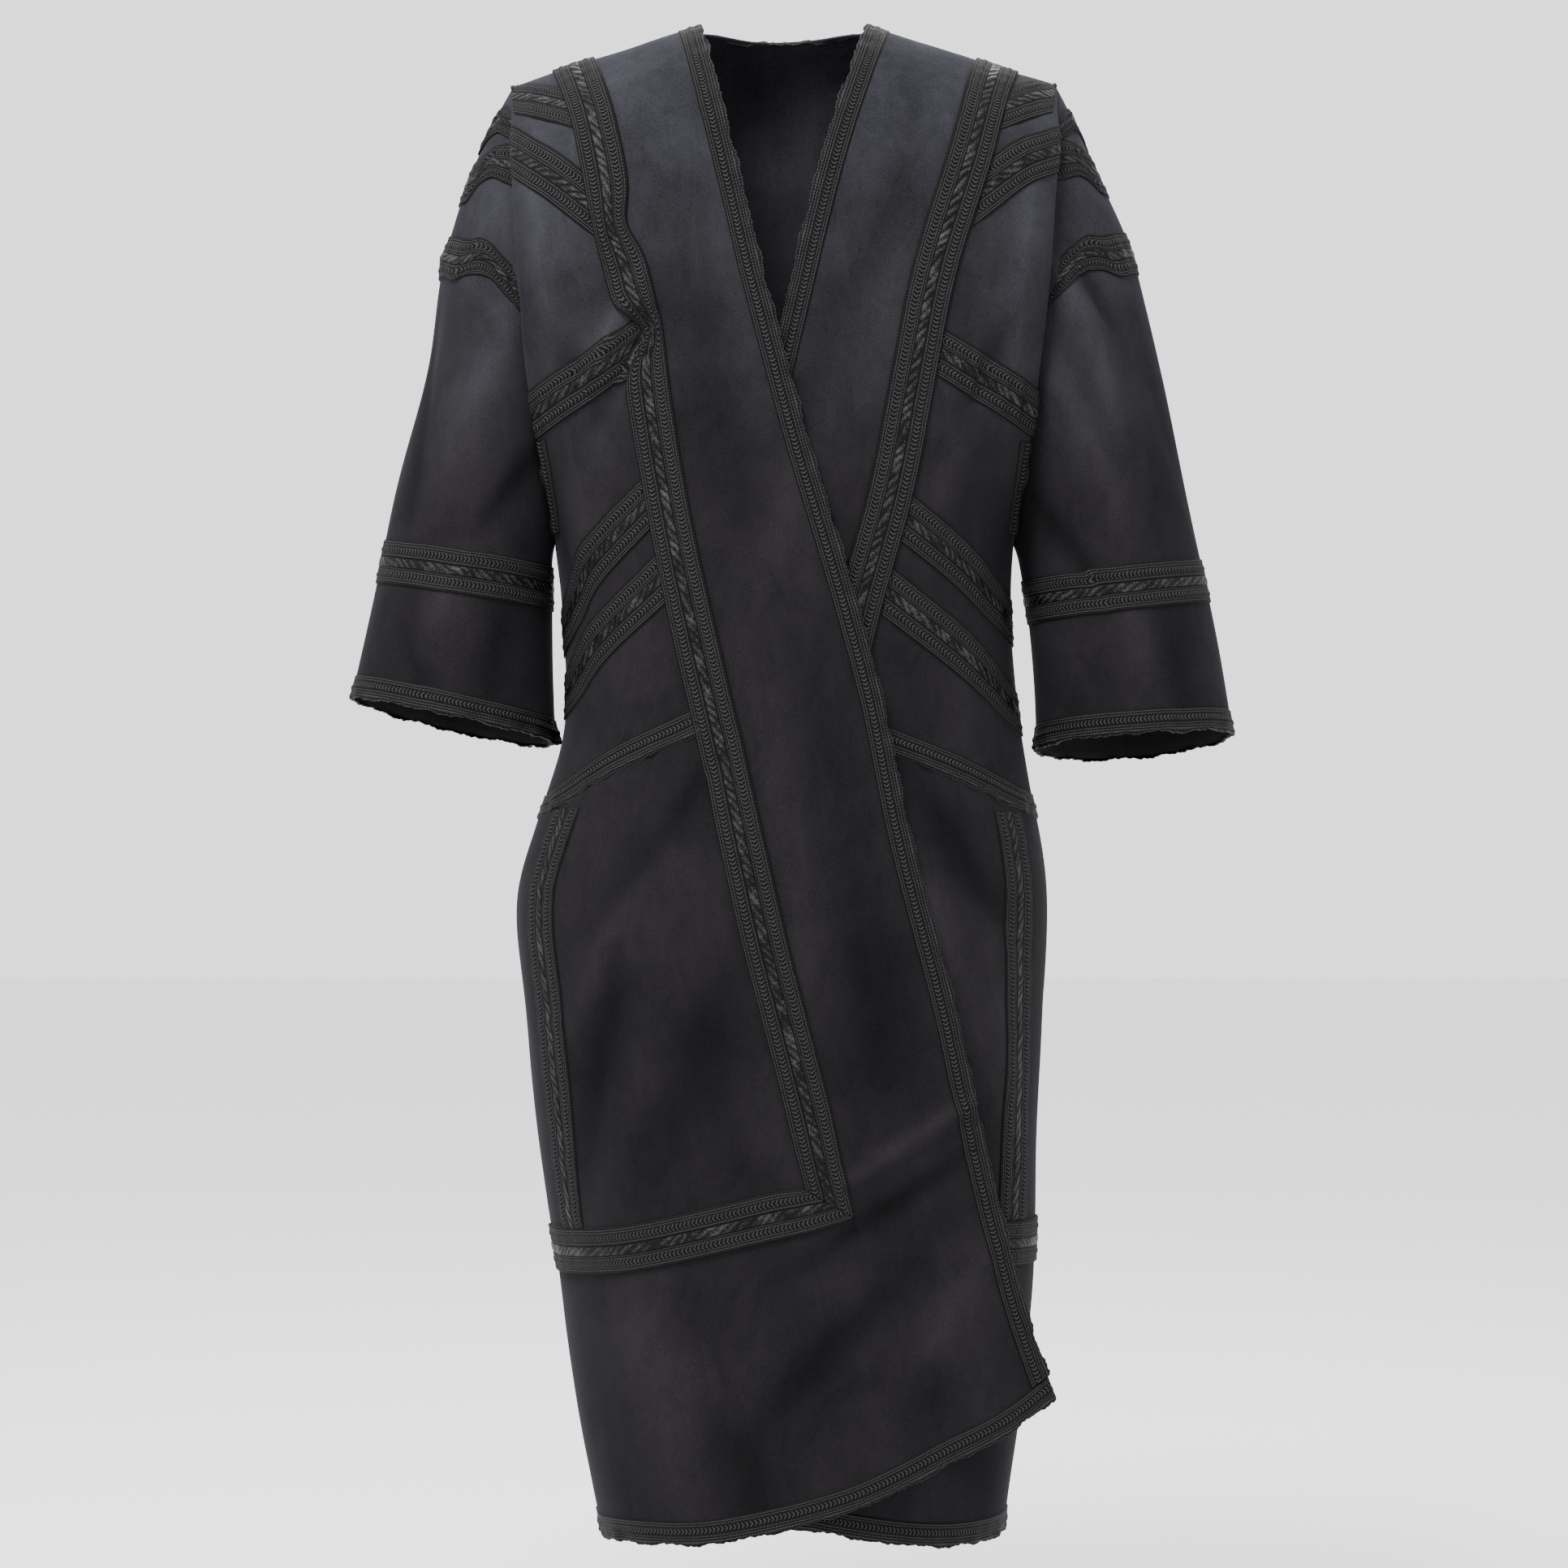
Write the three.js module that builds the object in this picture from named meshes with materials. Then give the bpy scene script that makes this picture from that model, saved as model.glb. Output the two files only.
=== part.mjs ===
// A long wrap-front robe of suede-like cloth, trimmed with braid, in the hollow shape it has when worn.
// Millimetres. Z is up, the front faces -Y, and the wearer's right side is at -X.
// Height 0 is at the neck points, where the shoulder seams meet the neck. "Down" is measured from there.

import * as THREE from "three";

// Cloth and braid

const clothThickness = 2;
const seamGap = 0.3;
const wideBraid = 40;
const narrowBraid = 19;
const braidThickness = 1.6;
const braidLift = 0.95;
const curvedBraidLift = 1.35;

// Shoulders, neck and armholes

const neckHalfWidth = 78;
const backNeckDrop = 60;
const shoulderTip = { x: 242, down: 52 };
const shoulderRound = 95;
const underarm = { x: 206, down: 462 };
const armholeFront = 74;
const armholeBack = 66;

// The robe's sides, front and back at each height. A larger corner is squarer, and roll is how far
// the front hangs over the armhole seam.

const bodySections = [
  { down: 52, right: 242, left: 242, front: 116, back: 84, corner: 3.0, roll: 0 },
  { down: 130, right: 235, left: 235, front: 124, back: 98, corner: 3.0, roll: 6 },
  { down: 250, right: 225, left: 225, front: 132, back: 104, corner: 2.9, roll: 9 },
  { down: 360, right: 215, left: 215, front: 136, back: 102, corner: 2.8, roll: 7 },
  { down: 462, right: 206, left: 206, front: 137, back: 96, corner: 2.6, roll: 2 },
  { down: 500, right: 199, left: 203, front: 137, back: 94, corner: 2.5, roll: 0 },
  { down: 560, right: 194, left: 204, front: 137, back: 92, corner: 2.4, roll: 0 },
  { down: 635, right: 195, left: 212, front: 138, back: 95, corner: 2.4, roll: 0 },
  { down: 690, right: 213, left: 223, front: 141, back: 103, corner: 2.3, roll: 0 },
  { down: 770, right: 240, left: 236, front: 146, back: 116, corner: 2.3, roll: 0 },
  { down: 890, right: 229, left: 230, front: 149, back: 122, corner: 2.3, roll: 0 },
  { down: 1000, right: 219, left: 226, front: 150, back: 126, corner: 2.3, roll: 0 },
  { down: 1115, right: 200, left: 223, front: 152, back: 129, corner: 2.2, roll: 0 },
  { down: 1235, right: 184, left: 211, front: 154, back: 132, corner: 2.2, roll: 0 },
  { down: 1345, right: 162, left: 195, front: 155, back: 134, corner: 2.2, roll: 0 },
];

// Each sleeve from the armhole to the cuff: its outer and inner edge, and how far it stands out in
// front and behind. The first row is the armhole.

const sleeveSections = {
  right: [
    { along: 0.0, outer: 242, outerDown: 52, inner: 206, innerDown: 462, front: 74, back: 66 },
    { along: 0.1, outer: 258, outerDown: 82, inner: 206, innerDown: 478, front: 77, back: 69 },
    { along: 0.2, outer: 276, outerDown: 122, inner: 206, innerDown: 494, front: 79, back: 72 },
    { along: 0.32, outer: 297, outerDown: 180, inner: 206, innerDown: 512, front: 80, back: 75 },
    { along: 0.4, outer: 309, outerDown: 216, inner: 206, innerDown: 524, front: 80, back: 76 },
    { along: 0.5, outer: 311, outerDown: 264, inner: 206, innerDown: 540, front: 80, back: 77 },
    { along: 0.64, outer: 328, outerDown: 342, inner: 206, innerDown: 564, front: 80, back: 77 },
    { along: 0.82, outer: 354, outerDown: 448, inner: 205, innerDown: 596, front: 79, back: 77 },
    { along: 1.0, outer: 386, outerDown: 592, inner: 204, innerDown: 632, front: 78, back: 78 },
  ],
  left: [
    { along: 0.0, outer: 242, outerDown: 52, inner: 206, innerDown: 462, front: 74, back: 66 },
    { along: 0.1, outer: 262, outerDown: 88, inner: 209, innerDown: 478, front: 77, back: 69 },
    { along: 0.2, outer: 278, outerDown: 130, inner: 212, innerDown: 494, front: 79, back: 72 },
    { along: 0.32, outer: 307, outerDown: 186, inner: 215, innerDown: 512, front: 80, back: 75 },
    { along: 0.4, outer: 317, outerDown: 220, inner: 217, innerDown: 524, front: 80, back: 76 },
    { along: 0.5, outer: 328, outerDown: 264, inner: 219, innerDown: 540, front: 80, back: 77 },
    { along: 0.64, outer: 346, outerDown: 345, inner: 221, innerDown: 564, front: 80, back: 77 },
    { along: 0.82, outer: 370, outerDown: 460, inner: 223, innerDown: 598, front: 79, back: 77 },
    { along: 1.0, outer: 400, outerDown: 622, inner: 224, innerDown: 635, front: 78, back: 78 },
  ],
};
const cuffBackDrop = { right: 15, left: 22 };

// The slanted front edges, as places across the body at each height

const rightEdge = [
  { down: 0, x: -76 },
  { down: 45, x: -65 },
  { down: 138, x: -42 },
  { down: 223, x: -22 },
  { down: 280, x: -7 },
  { down: 377, x: 19 },
  { down: 490, x: 53 },
  { down: 596, x: 82 },
  { down: 714, x: 106 },
  { down: 849, x: 141 },
  { down: 994, x: 174 },
  { down: 1111, x: 203 },
  { down: 1206, x: 235 },
];
const leftEdge = [
  { down: 0, x: 76 },
  { down: 50, x: 60 },
  { down: 122, x: 37 },
  { down: 195, x: 18 },
  { down: 255, x: 4 },
  { down: 377, x: -25 },
  { down: 490, x: -52 },
  { down: 700, x: -86 },
  { down: 1000, x: -104 },
  { down: 1310, x: -110 },
];

// The hem of each piece

const rightHem = [
  { x: -165, down: 1338 },
  { x: -142, down: 1331 },
  { x: -66, down: 1323 },
  { x: 0, down: 1309 },
  { x: 72, down: 1288 },
  { x: 136, down: 1258 },
  { x: 201, down: 1228 },
  { x: 235, down: 1205 },
];
const leftHem = [
  { x: -110, down: 1296 },
  { x: 12, down: 1309 },
  { x: 82, down: 1323 },
  { x: 145, down: 1332 },
  { x: 195, down: 1336 },
];
const backHemDown = 1338;

// The upper front lies outside the under one where they cross, and its lower corner stands free.

const wrapGap = 9;
const wrapEase = { from: 95, to: 12 };
const freeReach = [
  { down: 52, x: 242 },
  { down: 462, x: 206 },
  { down: 700, x: 234 },
  { down: 900, x: 262 },
  { down: 1345, x: 300 },
];

// Large soft folds. Each lies at a place across and down, leans as it goes down, fades out over its
// length and width, and stands out by its depth, or in where the depth is negative.

const frontFolds = [
  { x: -143, down: 300, lean: -0.2, long: 80, wide: 38, depth: -3.5 },
  { x: -165, down: 405, lean: 0.1, long: 90, wide: 50, depth: -5 },
  { x: 160, down: 400, lean: -0.1, long: 90, wide: 50, depth: -5 },
  { x: 150, down: 230, lean: 0.5, long: 120, wide: 42, depth: -4 },
  { x: -190, down: 230, lean: -0.1, long: 130, wide: 36, depth: 3 },
  { x: -40, down: 420, lean: 0.25, long: 200, wide: 60, depth: -4 },
  { x: 30, down: 620, lean: -0.2, long: 160, wide: 55, depth: 4 },
  { x: -130, down: 815, lean: -0.34, long: 190, wide: 46, depth: -6 },
  { x: -60, down: 850, lean: -0.3, long: 200, wide: 52, depth: 5 },
  { x: 60, down: 900, lean: 0.3, long: 170, wide: 50, depth: -5 },
  { x: 118, down: 965, lean: -1.3, long: 60, wide: 40, depth: 5 },
  { x: 150, down: 1080, lean: 0.25, long: 150, wide: 46, depth: -5 },
  { x: -60, down: 1190, lean: -0.15, long: 150, wide: 60, depth: -5 },
  { x: 190, down: 860, lean: -0.1, long: 160, wide: 46, depth: -5 },
];
const backFolds = [
  { x: -120, down: 380, lean: 0.1, long: 300, wide: 50, depth: 6 },
  { x: 110, down: 420, lean: -0.12, long: 280, wide: 50, depth: 6 },
  { x: -10, down: 560, lean: 0.03, long: 260, wide: 56, depth: -7 },
  { x: -90, down: 960, lean: -0.08, long: 320, wide: 60, depth: -8 },
  { x: 70, down: 1000, lean: 0.1, long: 300, wide: 58, depth: 8 },
  { x: 150, down: 1080, lean: 0.06, long: 240, wide: 48, depth: -6 },
];
const sleeveFolds = {
  right: [
    { around: 0.36, along: 0.55, lean: -0.1, long: 0.22, wide: 0.05, depth: -5 },
    { around: 0.2, along: 0.6, lean: 0.12, long: 0.25, wide: 0.05, depth: 5 },
    { around: 0.66, along: 0.6, lean: 0.1, long: 0.3, wide: 0.06, depth: -6 },
    { around: 0.82, along: 0.55, lean: -0.1, long: 0.3, wide: 0.05, depth: 5 },
  ],
  left: [
    { around: 0.38, along: 0.5, lean: 0.1, long: 0.2, wide: 0.045, depth: -5 },
    { around: 0.22, along: 0.65, lean: -0.1, long: 0.26, wide: 0.05, depth: 5 },
    { around: 0.64, along: 0.55, lean: -0.12, long: 0.3, wide: 0.06, depth: -6 },
    { around: 0.8, along: 0.6, lean: 0.1, long: 0.3, wide: 0.05, depth: 5 },
  ],
};

// Wide braid down each front, mitred into the band above the hem

const rightLine = [
  { down: 28, x: -190 },
  { down: 93, x: -167 },
  { down: 195, x: -145 },
  { down: 279, x: -125 },
  { down: 375, x: -111 },
  { down: 510, x: -85 },
  { down: 660, x: -50 },
  { down: 808, x: -17 },
  { down: 936, x: 16 },
  { down: 1033, x: 40 },
];
const leftLine = [
  { down: 28, x: 193 },
  { down: 59, x: 181 },
  { down: 125, x: 163 },
  { down: 227, x: 131 },
  { down: 320, x: 112 },
  { down: 426, x: 91 },
  { down: 565, x: 54 },
  { down: 754, x: 24 },
  { down: 936, x: -18 },
  { down: 1033, x: -38 },
];
const rightBand = [
  { x: -206, down: 1086 },
  { x: -143, down: 1076 },
  { x: -82, down: 1062 },
  { x: -17, down: 1046 },
  { x: 40, down: 1033 },
];
const leftBand = [
  { x: -38, down: 1033 },
  { x: 17, down: 1046 },
  { x: 82, down: 1060 },
  { x: 150, down: 1070 },
  { x: 223, down: 1078 },
];
const backBand = { rightDown: 1086, leftDown: 1078 };
const sideBand = { fromSeam: 82, top: 712 };

// Slanted bands on each front, from the wide braid out to the armhole or the side seam

const shoulderBand = {
  right: [{ x: -236, down: 64 }, { x: -204, down: 76 }],
  left: [{ x: 209, down: 74 }, { x: 236, down: 62 }],
};
const yokeBand = {
  right: [{ x: -232, down: 124 }, { x: -209, down: 141 }, { x: -178, down: 166 }],
  left: [{ x: 182, down: 154 }, { x: 208, down: 134 }, { x: 232, down: 122 }],
};
const chestBand = {
  right: [{ x: -217, down: 352 }, { x: -147, down: 309 }],
  left: [{ x: 143, down: 307 }, { x: 211, down: 347 }],
};
const upperWaistBand = {
  right: [{ x: -191, down: 535 }, { x: -168, down: 485 }, { x: -123, down: 437 }],
  left: [{ x: 107, down: 447 }, { x: 150, down: 481 }, { x: 200, down: 530 }],
};
const lowerWaistBand = {
  right: [{ x: -184, down: 585 }, { x: -163, down: 553 }, { x: -108, down: 500 }],
  left: [{ x: 98, down: 516 }, { x: 156, down: 562 }, { x: 207, down: 611 }],
};
const pocketBand = {
  right: [{ x: -191, down: 680 }, { x: -143, down: 651 }, { x: -85, down: 624 }],
  left: [{ x: 91, down: 636 }, { x: 145, down: 657 }, { x: 215, down: 689 }],
};

// Bands round the sleeves: how low each middle line lies at a place across, and how it slopes from there

const sleeveBands = [
  { name: "shoulder_band", side: "right", x: 235, down: 80, slope: 0.5, start: 0.05 },
  { name: "shoulder_band", side: "left", x: 235, down: 79, slope: 0.5, start: 0.05 },
  { name: "yoke_band", side: "right", x: 235, down: 122, slope: 0.4, start: 0.08 },
  { name: "yoke_band", side: "left", x: 235, down: 116, slope: 0.42, start: 0.08 },
  { name: "upper_ring", side: "right", x: 235, down: 232, slope: -0.38, start: 0.15 },
  { name: "upper_ring", side: "left", x: 235, down: 225, slope: -0.3, start: 0.15 },
];
const sleeveRings = [
  { name: "lower_ring", side: "right", x: 212, down: 500, slope: -0.16 },
  { name: "lower_ring", side: "left", x: 230, down: 511, slope: -0.12 },
];
const armholeBraid = { from: 382, to: 424, inside: 9 };

// Mesh density

const panelRows = 30;
const rowCrowding = 1.2;
const rightColumns = 16;
const leftColumns = 14;
const backOuterColumns = 6;
const backNeckColumns = 4;
const sleeveColumns = 20;
const sleeveCrowding = 0.45;
const sleeveRows = [0, 0.06, 0.14, 0.23, 0.33, 0.43, 0.54, 0.66, 0.78, 0.89, 1];

// Small helpers

const clamp = (x, low, high) => Math.min(Math.max(x, low), high);

function ease(from, to, x) {
  const t = clamp((x - from) / (to - from), 0, 1);
  return t * t * (3 - 2 * t);
}

// A smooth curve through one column of a table, straight past its ends.
function column(table, name, key = "down") {
  const last = table.length - 1;
  const slopeAt = (i) => {
    const before = table[Math.max(i - 1, 0)];
    const after = table[Math.min(i + 1, last)];
    return (after[name] - before[name]) / (after[key] - before[key]);
  };
  return (at) => {
    if (at <= table[0][key]) return table[0][name] + slopeAt(0) * (at - table[0][key]);
    if (at >= table[last][key]) return table[last][name] + slopeAt(last) * (at - table[last][key]);
    let i = 0;
    while (table[i + 1][key] < at) i += 1;
    const span = table[i + 1][key] - table[i][key];
    const t = (at - table[i][key]) / span;
    const rise = table[i + 1][name] - table[i][name];
    const bend0 = slopeAt(i) * span - rise;
    const bend1 = rise - slopeAt(i + 1) * span;
    return table[i][name] + rise * t + t * (1 - t) * (bend0 * (1 - t) + bend1 * t);
  };
}

// A value where a rising or falling function crosses zero between two bounds, or null.
function crossing(miss, low, high) {
  let a = low;
  let b = high;
  const start = miss(a);
  if (start * miss(b) > 0) return null;
  for (let k = 0; k < 32; k += 1) {
    const middle = (a + b) / 2;
    if (miss(middle) * start > 0) a = middle;
    else b = middle;
  }
  return (a + b) / 2;
}

// Body

const halfWidth = { right: column(bodySections, "right"), left: column(bodySections, "left") };
const corner = column(bodySections, "corner");
const roll = column(bodySections, "roll");
const freeReachAt = column(freeReach, "x");
const rightEdgeAt = column(rightEdge, "x");
const leftEdgeAt = column(leftEdge, "x");

const bodyFaces = {
  front: { toward: -1, depth: column(bodySections, "front"), armhole: armholeFront, folds: frontFolds },
  wrap: { toward: -1, depth: column(bodySections, "front"), armhole: armholeFront, folds: frontFolds, free: true },
  back: { toward: 1, depth: column(bodySections, "back"), armhole: armholeBack, folds: backFolds },
};

// The length of cloth from the shoulder seam down to a height on the side, and back.
const overShoulder = (shoulderRound * Math.PI) / 2;
const levelAt = (length) => {
  const turn = Math.min(length, overShoulder) / shoulderRound;
  return shoulderTip.down + shoulderRound * (1 - Math.cos(turn)) + Math.max(length - overShoulder, 0);
};
const lengthTo = (level) => level - shoulderTip.down - shoulderRound + overShoulder;

// The side of the body: on the armhole down to the underarm, then on the side seam. Away from the
// armhole the cloth evens its curve out.
function sideAt(side, face, level, share) {
  const t = (level - shoulderTip.down) / (underarm.down - shoulderTip.down);
  if (t >= 1) return { x: halfWidth[side](level), y: 0 };
  const x = shoulderTip.x + (underarm.x - shoulderTip.x) * t;
  const round = Math.max(1 - (1 - 2 * t) ** 2, 0);
  const atSeam = Math.sqrt(round);
  const depth = atSeam + (round ** 1.5 - atSeam) * ease(1, 0.55, share);
  return { x, y: face.toward * face.armhole * depth };
}

// Where a share of the way round from the middle to the side lies across, and how far it stands out.
function roundCorner(share, square) {
  const near = share ** (square / 2);
  const turn = (Math.PI / 2) * (near / (near + (1 - share) ** (square / 2)));
  return { across: Math.sin(turn) ** (2 / square), out: Math.max(Math.cos(turn), 0) ** (2 / square) };
}

function foldDepth(folds, x, level) {
  let depth = 0;
  for (const fold of folds) {
    const down = (level - fold.down) / fold.long;
    const off = (x - fold.x - fold.lean * (level - fold.down)) / fold.wide;
    depth += fold.depth * Math.exp(-down * down - off * off);
  }
  return depth;
}

const soften = (x) => Math.hypot(x, 40);
const shoulderSlope = shoulderTip.down / (soften(shoulderTip.x) - soften(neckHalfWidth));

// A point of the body's outer face. Round goes from -1 at the right side to 1 at the left, and length
// is the cloth's length below the shoulder seam.
function bodyPoint(face, round, length) {
  const side = round < 0 ? "right" : "left";
  const hand = round < 0 ? -1 : 1;
  const share = Math.min(Math.abs(round), 1);
  const level = levelAt(length);
  const cap = Math.sin(Math.min(length, overShoulder) / shoulderRound);
  const edge = sideAt(side, face, level, share);
  const isFree = face.free && round > 0;
  const width = isFree ? freeReachAt(level) : edge.x;
  const square = corner(level);
  const { across, out } = roundCorner(share, square);
  const deep = face.toward * face.depth(level) * cap - edge.y;
  const hang = face.toward < 0 && !isFree ? roll(level) * Math.sin(Math.PI * clamp((share - 0.6) / 0.4, 0, 1)) ** 2 : 0;
  const x = hand * (width * across + hang);
  const y = edge.y + deep * out;
  const rise = shoulderSlope * (soften(width) - soften(x)) * (1 - ease(shoulderTip.down, 400, level));

  const outX = (hand * across ** (square - 1)) / width;
  const outY = (face.toward * out ** (square - 1)) / Math.max(Math.abs(deep), 1);
  const outLength = Math.hypot(outX, outY) || 1;
  let stand = cap * foldDepth(face.folds, x, level);
  const away = share > 0.85 ? ease(1, 0.85, share) : 1;
  stand *= face.free && round > 0 ? 1 : away;
  const gap = face.free ? wrapGap * ease(leftEdgeAt(level) - wrapEase.from, leftEdgeAt(level) - wrapEase.to, x) : 0;
  return new THREE.Vector3(
    x + (outX / outLength) * stand,
    y + (outY / outLength) * stand - gap,
    rise - level,
  );
}

// The share of the way round at which a row reaches a place across.
function roundAt(face, x, length) {
  const miss = (round) => bodyPoint(face, round, length).x - x;
  return crossing(miss, -0.75, 0.985) ?? 0;
}

// A front's free edge on one row
function roundAtEdge(face, edgeAt, length) {
  let round = 0;
  for (let k = 0; k < 6; k += 1) {
    const down = -bodyPoint(face, round, length).z;
    round = roundAt(face, edgeAt(down), length);
  }
  return round;
}

// Panels: each maps u, across, and v, down, from 0 to 1 to a point of its outer face

const even = (count) => Array.from({ length: count + 1 }, (_, i) => i / count);
const crowded = even(panelRows).map((t) => t ** rowCrowding);

function makeFront(face, hand, edgeAt, hem, columns) {
  const hemDown = column(hem, "down", "x");
  const sideRound = hand * (1 - seamGap / 600);
  const start = seamGap / 2;
  const cache = new Map();
  const edgeRound = (length) => {
    const key = Math.round(length * 16);
    if (!cache.has(key)) cache.set(key, roundAtEdge(face, edgeAt, key / 16));
    const next = key + (length * 16 > key ? 1 : -1);
    if (!cache.has(next)) cache.set(next, roundAtEdge(face, edgeAt, next / 16));
    const t = Math.abs(length * 16 - key);
    return cache.get(key) * (1 - t) + cache.get(next) * t;
  };
  const hemCache = new Map();
  const hemLength = (u) => {
    if (hemCache.has(u)) return hemCache.get(u);
    let length = lengthTo(1320);
    for (let k = 0; k < 12; k += 1) {
      const round = sideRound + (edgeRound(length) - sideRound) * u;
      const point = bodyPoint(face, round, length);
      length = lengthTo(hemDown(point.x));
    }
    hemCache.set(u, length);
    return length;
  };
  const point = (u, v) => {
    const length = start + (hemLength(u) - start) * v;
    const round = sideRound + (edgeRound(length) - sideRound) * u;
    return bodyPoint(face, round, length);
  };
  return { point, across: even(columns), down: crowded };
}

function makeBack() {
  const face = bodyFaces.back;
  const neckRound = roundAt(face, neckHalfWidth, 0.01);
  const start = seamGap / 2;
  const sideRound = 1 - seamGap / 600;
  const outer = even(backOuterColumns).map((t) => -sideRound + (sideRound - neckRound) * t);
  const neck = even(backNeckColumns).map((t) => neckRound * (2 * t - 1)).slice(1, -1);
  const rounds = [...outer, ...neck, ...outer.map((r) => -r).reverse()];
  const point = (u, v) => {
    const round = sideRound * (2 * u - 1);
    const inNeck = Math.max(1 - (round / neckRound) ** 2, 0);
    const top = start + backNeckDrop * inNeck ** 0.6;
    return bodyPoint(face, round, top + (lengthTo(backHemDown) - top) * v);
  };
  const across = rounds.map((r) => (r / sideRound + 1) / 2);
  return { point, across, down: crowded, neck: [(1 - neckRound / sideRound) / 2, (1 + neckRound / sideRound) / 2] };
}

// Sleeves: u goes round from the underarm by the front, v goes from the armhole to the cuff

function makeSleeve(side) {
  const hand = side === "right" ? -1 : 1;
  const table = sleeveSections[side];
  const [outer, outerDown, inner, innerDown, front, back] = [
    "outer", "outerDown", "inner", "innerDown", "front", "back",
  ].map((name) => column(table, name, "along"));
  const seam = new THREE.Vector3(underarm.down - shoulderTip.down, 0, shoulderTip.x - underarm.x).normalize();
  const point = (u, v) => {
    const turn = 2 * Math.PI * u - (sleeveCrowding / 2) * Math.sin(4 * Math.PI * u);
    const out = -Math.cos(turn);
    const forward = Math.sin(turn);
    const middleX = (outer(v) + inner(v)) / 2;
    const middleDown = (outerDown(v) + innerDown(v)) / 2;
    const x = middleX + ((outer(v) - inner(v)) / 2) * out;
    const down = middleDown + ((outerDown(v) - innerDown(v)) / 2) * out;
    const drop = cuffBackDrop[side] * v ** 3 * ((1 - forward) / 2) ** 1.5;
    let stand = 1;
    for (const fold of sleeveFolds[side]) {
      const off = (u - fold.around - fold.lean * (v - fold.along)) / fold.wide;
      const way = (v - fold.along) / fold.long;
      stand += (fold.depth / 80) * Math.exp(-off * off - way * way) * ease(0, 0.25, v);
    }
    const y = (forward > 0 ? -front(v) : -back(v)) * forward * stand;
    return new THREE.Vector3(
      hand * (x + seam.x * seamGap),
      y,
      -(down + drop) + seam.z * seamGap,
    );
  };
  return { point, across: even(sleeveColumns).slice(0, -1), down: sleeveRows, ring: true, seam, hand };
}

// Outward direction at a point of a panel
function normalAt(panel, u, v) {
  const step = 0.002;
  const u0 = panel.ring ? u - step : Math.max(u - step, 0);
  const u1 = panel.ring ? u + step : Math.min(u + step, 1);
  const v0 = Math.max(v - step, 0);
  const v1 = Math.min(v + step, 1);
  const alongU = panel.point(u1, v).sub(panel.point(u0, v));
  const alongV = panel.point(u, v1).sub(panel.point(u, v0));
  return alongU.cross(alongV).multiplyScalar(panel.turn).normalize();
}

// Solids

// A closed slab between an outer and an inner grid of points. Its first row joins its last in a ring.
function slab(top, bottom, ring) {
  const rows = top.length;
  const columns = top[0].length;
  const positions = [];
  for (const grid of [top, bottom]) {
    for (const row of grid) row.forEach((p) => positions.push(p.x, p.y, p.z));
  }
  const upper = (i, j) => (i % rows) * columns + j;
  const lower = (i, j) => rows * columns + upper(i, j);
  const middle = Math.floor((rows - 1) / 2);
  const a = top[middle][0];
  const alongRow = top[middle][1].clone().sub(a);
  const acrossRows = top[(middle + 1) % rows][0].clone().sub(a);
  const isTurned = alongRow.cross(acrossRows).dot(a.clone().sub(bottom[middle][0])) < 0;
  const index = [];
  const face = (p, q, r, s) => {
    if (isTurned) index.push(p, r, q, p, s, r);
    else index.push(p, q, r, p, r, s);
  };
  const spans = ring ? rows : rows - 1;
  for (let i = 0; i < spans; i += 1) {
    for (let j = 0; j < columns - 1; j += 1) {
      face(upper(i, j), upper(i, j + 1), upper(i + 1, j + 1), upper(i + 1, j));
      face(lower(i, j), lower(i + 1, j), lower(i + 1, j + 1), lower(i, j + 1));
    }
    const end = columns - 1;
    face(upper(i, 0), upper(i + 1, 0), lower(i + 1, 0), lower(i, 0));
    face(upper(i, end), lower(i, end), lower(i + 1, end), upper(i + 1, end));
  }
  if (!ring) {
    for (let j = 0; j < columns - 1; j += 1) {
      face(upper(0, j), lower(0, j), lower(0, j + 1), upper(0, j + 1));
      face(upper(rows - 1, j), upper(rows - 1, j + 1), lower(rows - 1, j + 1), lower(rows - 1, j));
    }
  }
  const geometry = new THREE.BufferGeometry();
  geometry.setAttribute("position", new THREE.Float32BufferAttribute(positions, 3));
  geometry.setIndex(index);
  geometry.computeVertexNormals();
  return geometry;
}

function clothWall(panel) {
  const outside = [];
  const inside = [];
  for (const u of panel.across) {
    outside.push(panel.down.map((v) => panel.point(u, v)));
    inside.push(panel.down.map((v) => {
      const normal = normalAt(panel, u, v);
      if (panel.seam && v === 0) {
        const seam = new THREE.Vector3(panel.seam.x * panel.hand, 0, panel.seam.z);
        normal.addScaledVector(seam, -normal.dot(seam)).normalize();
      }
      return panel.point(u, v).addScaledVector(normal, -clothThickness);
    }));
  }
  return slab(outside, inside, panel.ring);
}

// A braid over rows of u, v places on a panel, made from the panel's own points, moved out.
function braidOn(panel, rows, ring = false, clear = braidLift) {
  const lift = (distance) => rows.map((row) => row.map(([u, v]) => (
    panel.point(u, v).addScaledVector(normalAt(panel, u, v), distance)
  )));
  return slab(lift(clear + braidThickness), lift(clear), ring);
}

// Goes along one of a panel's lines from a place, by a distance measured on the cloth.
function walk(panel, [u, v], direction, distance) {
  const steps = 8;
  const sign = Math.sign(distance);
  let place = [u, v];
  for (let k = 0; k < steps; k += 1) {
    const here = panel.point(...place);
    const probe = 0.001 * sign;
    const speed = panel.point(place[0] + direction[0] * probe, place[1] + direction[1] * probe).distanceTo(here);
    const step = (Math.abs(distance) / steps / speed) * probe;
    place = [place[0] + direction[0] * step, place[1] + direction[1] * step];
  }
  return place;
}

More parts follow.
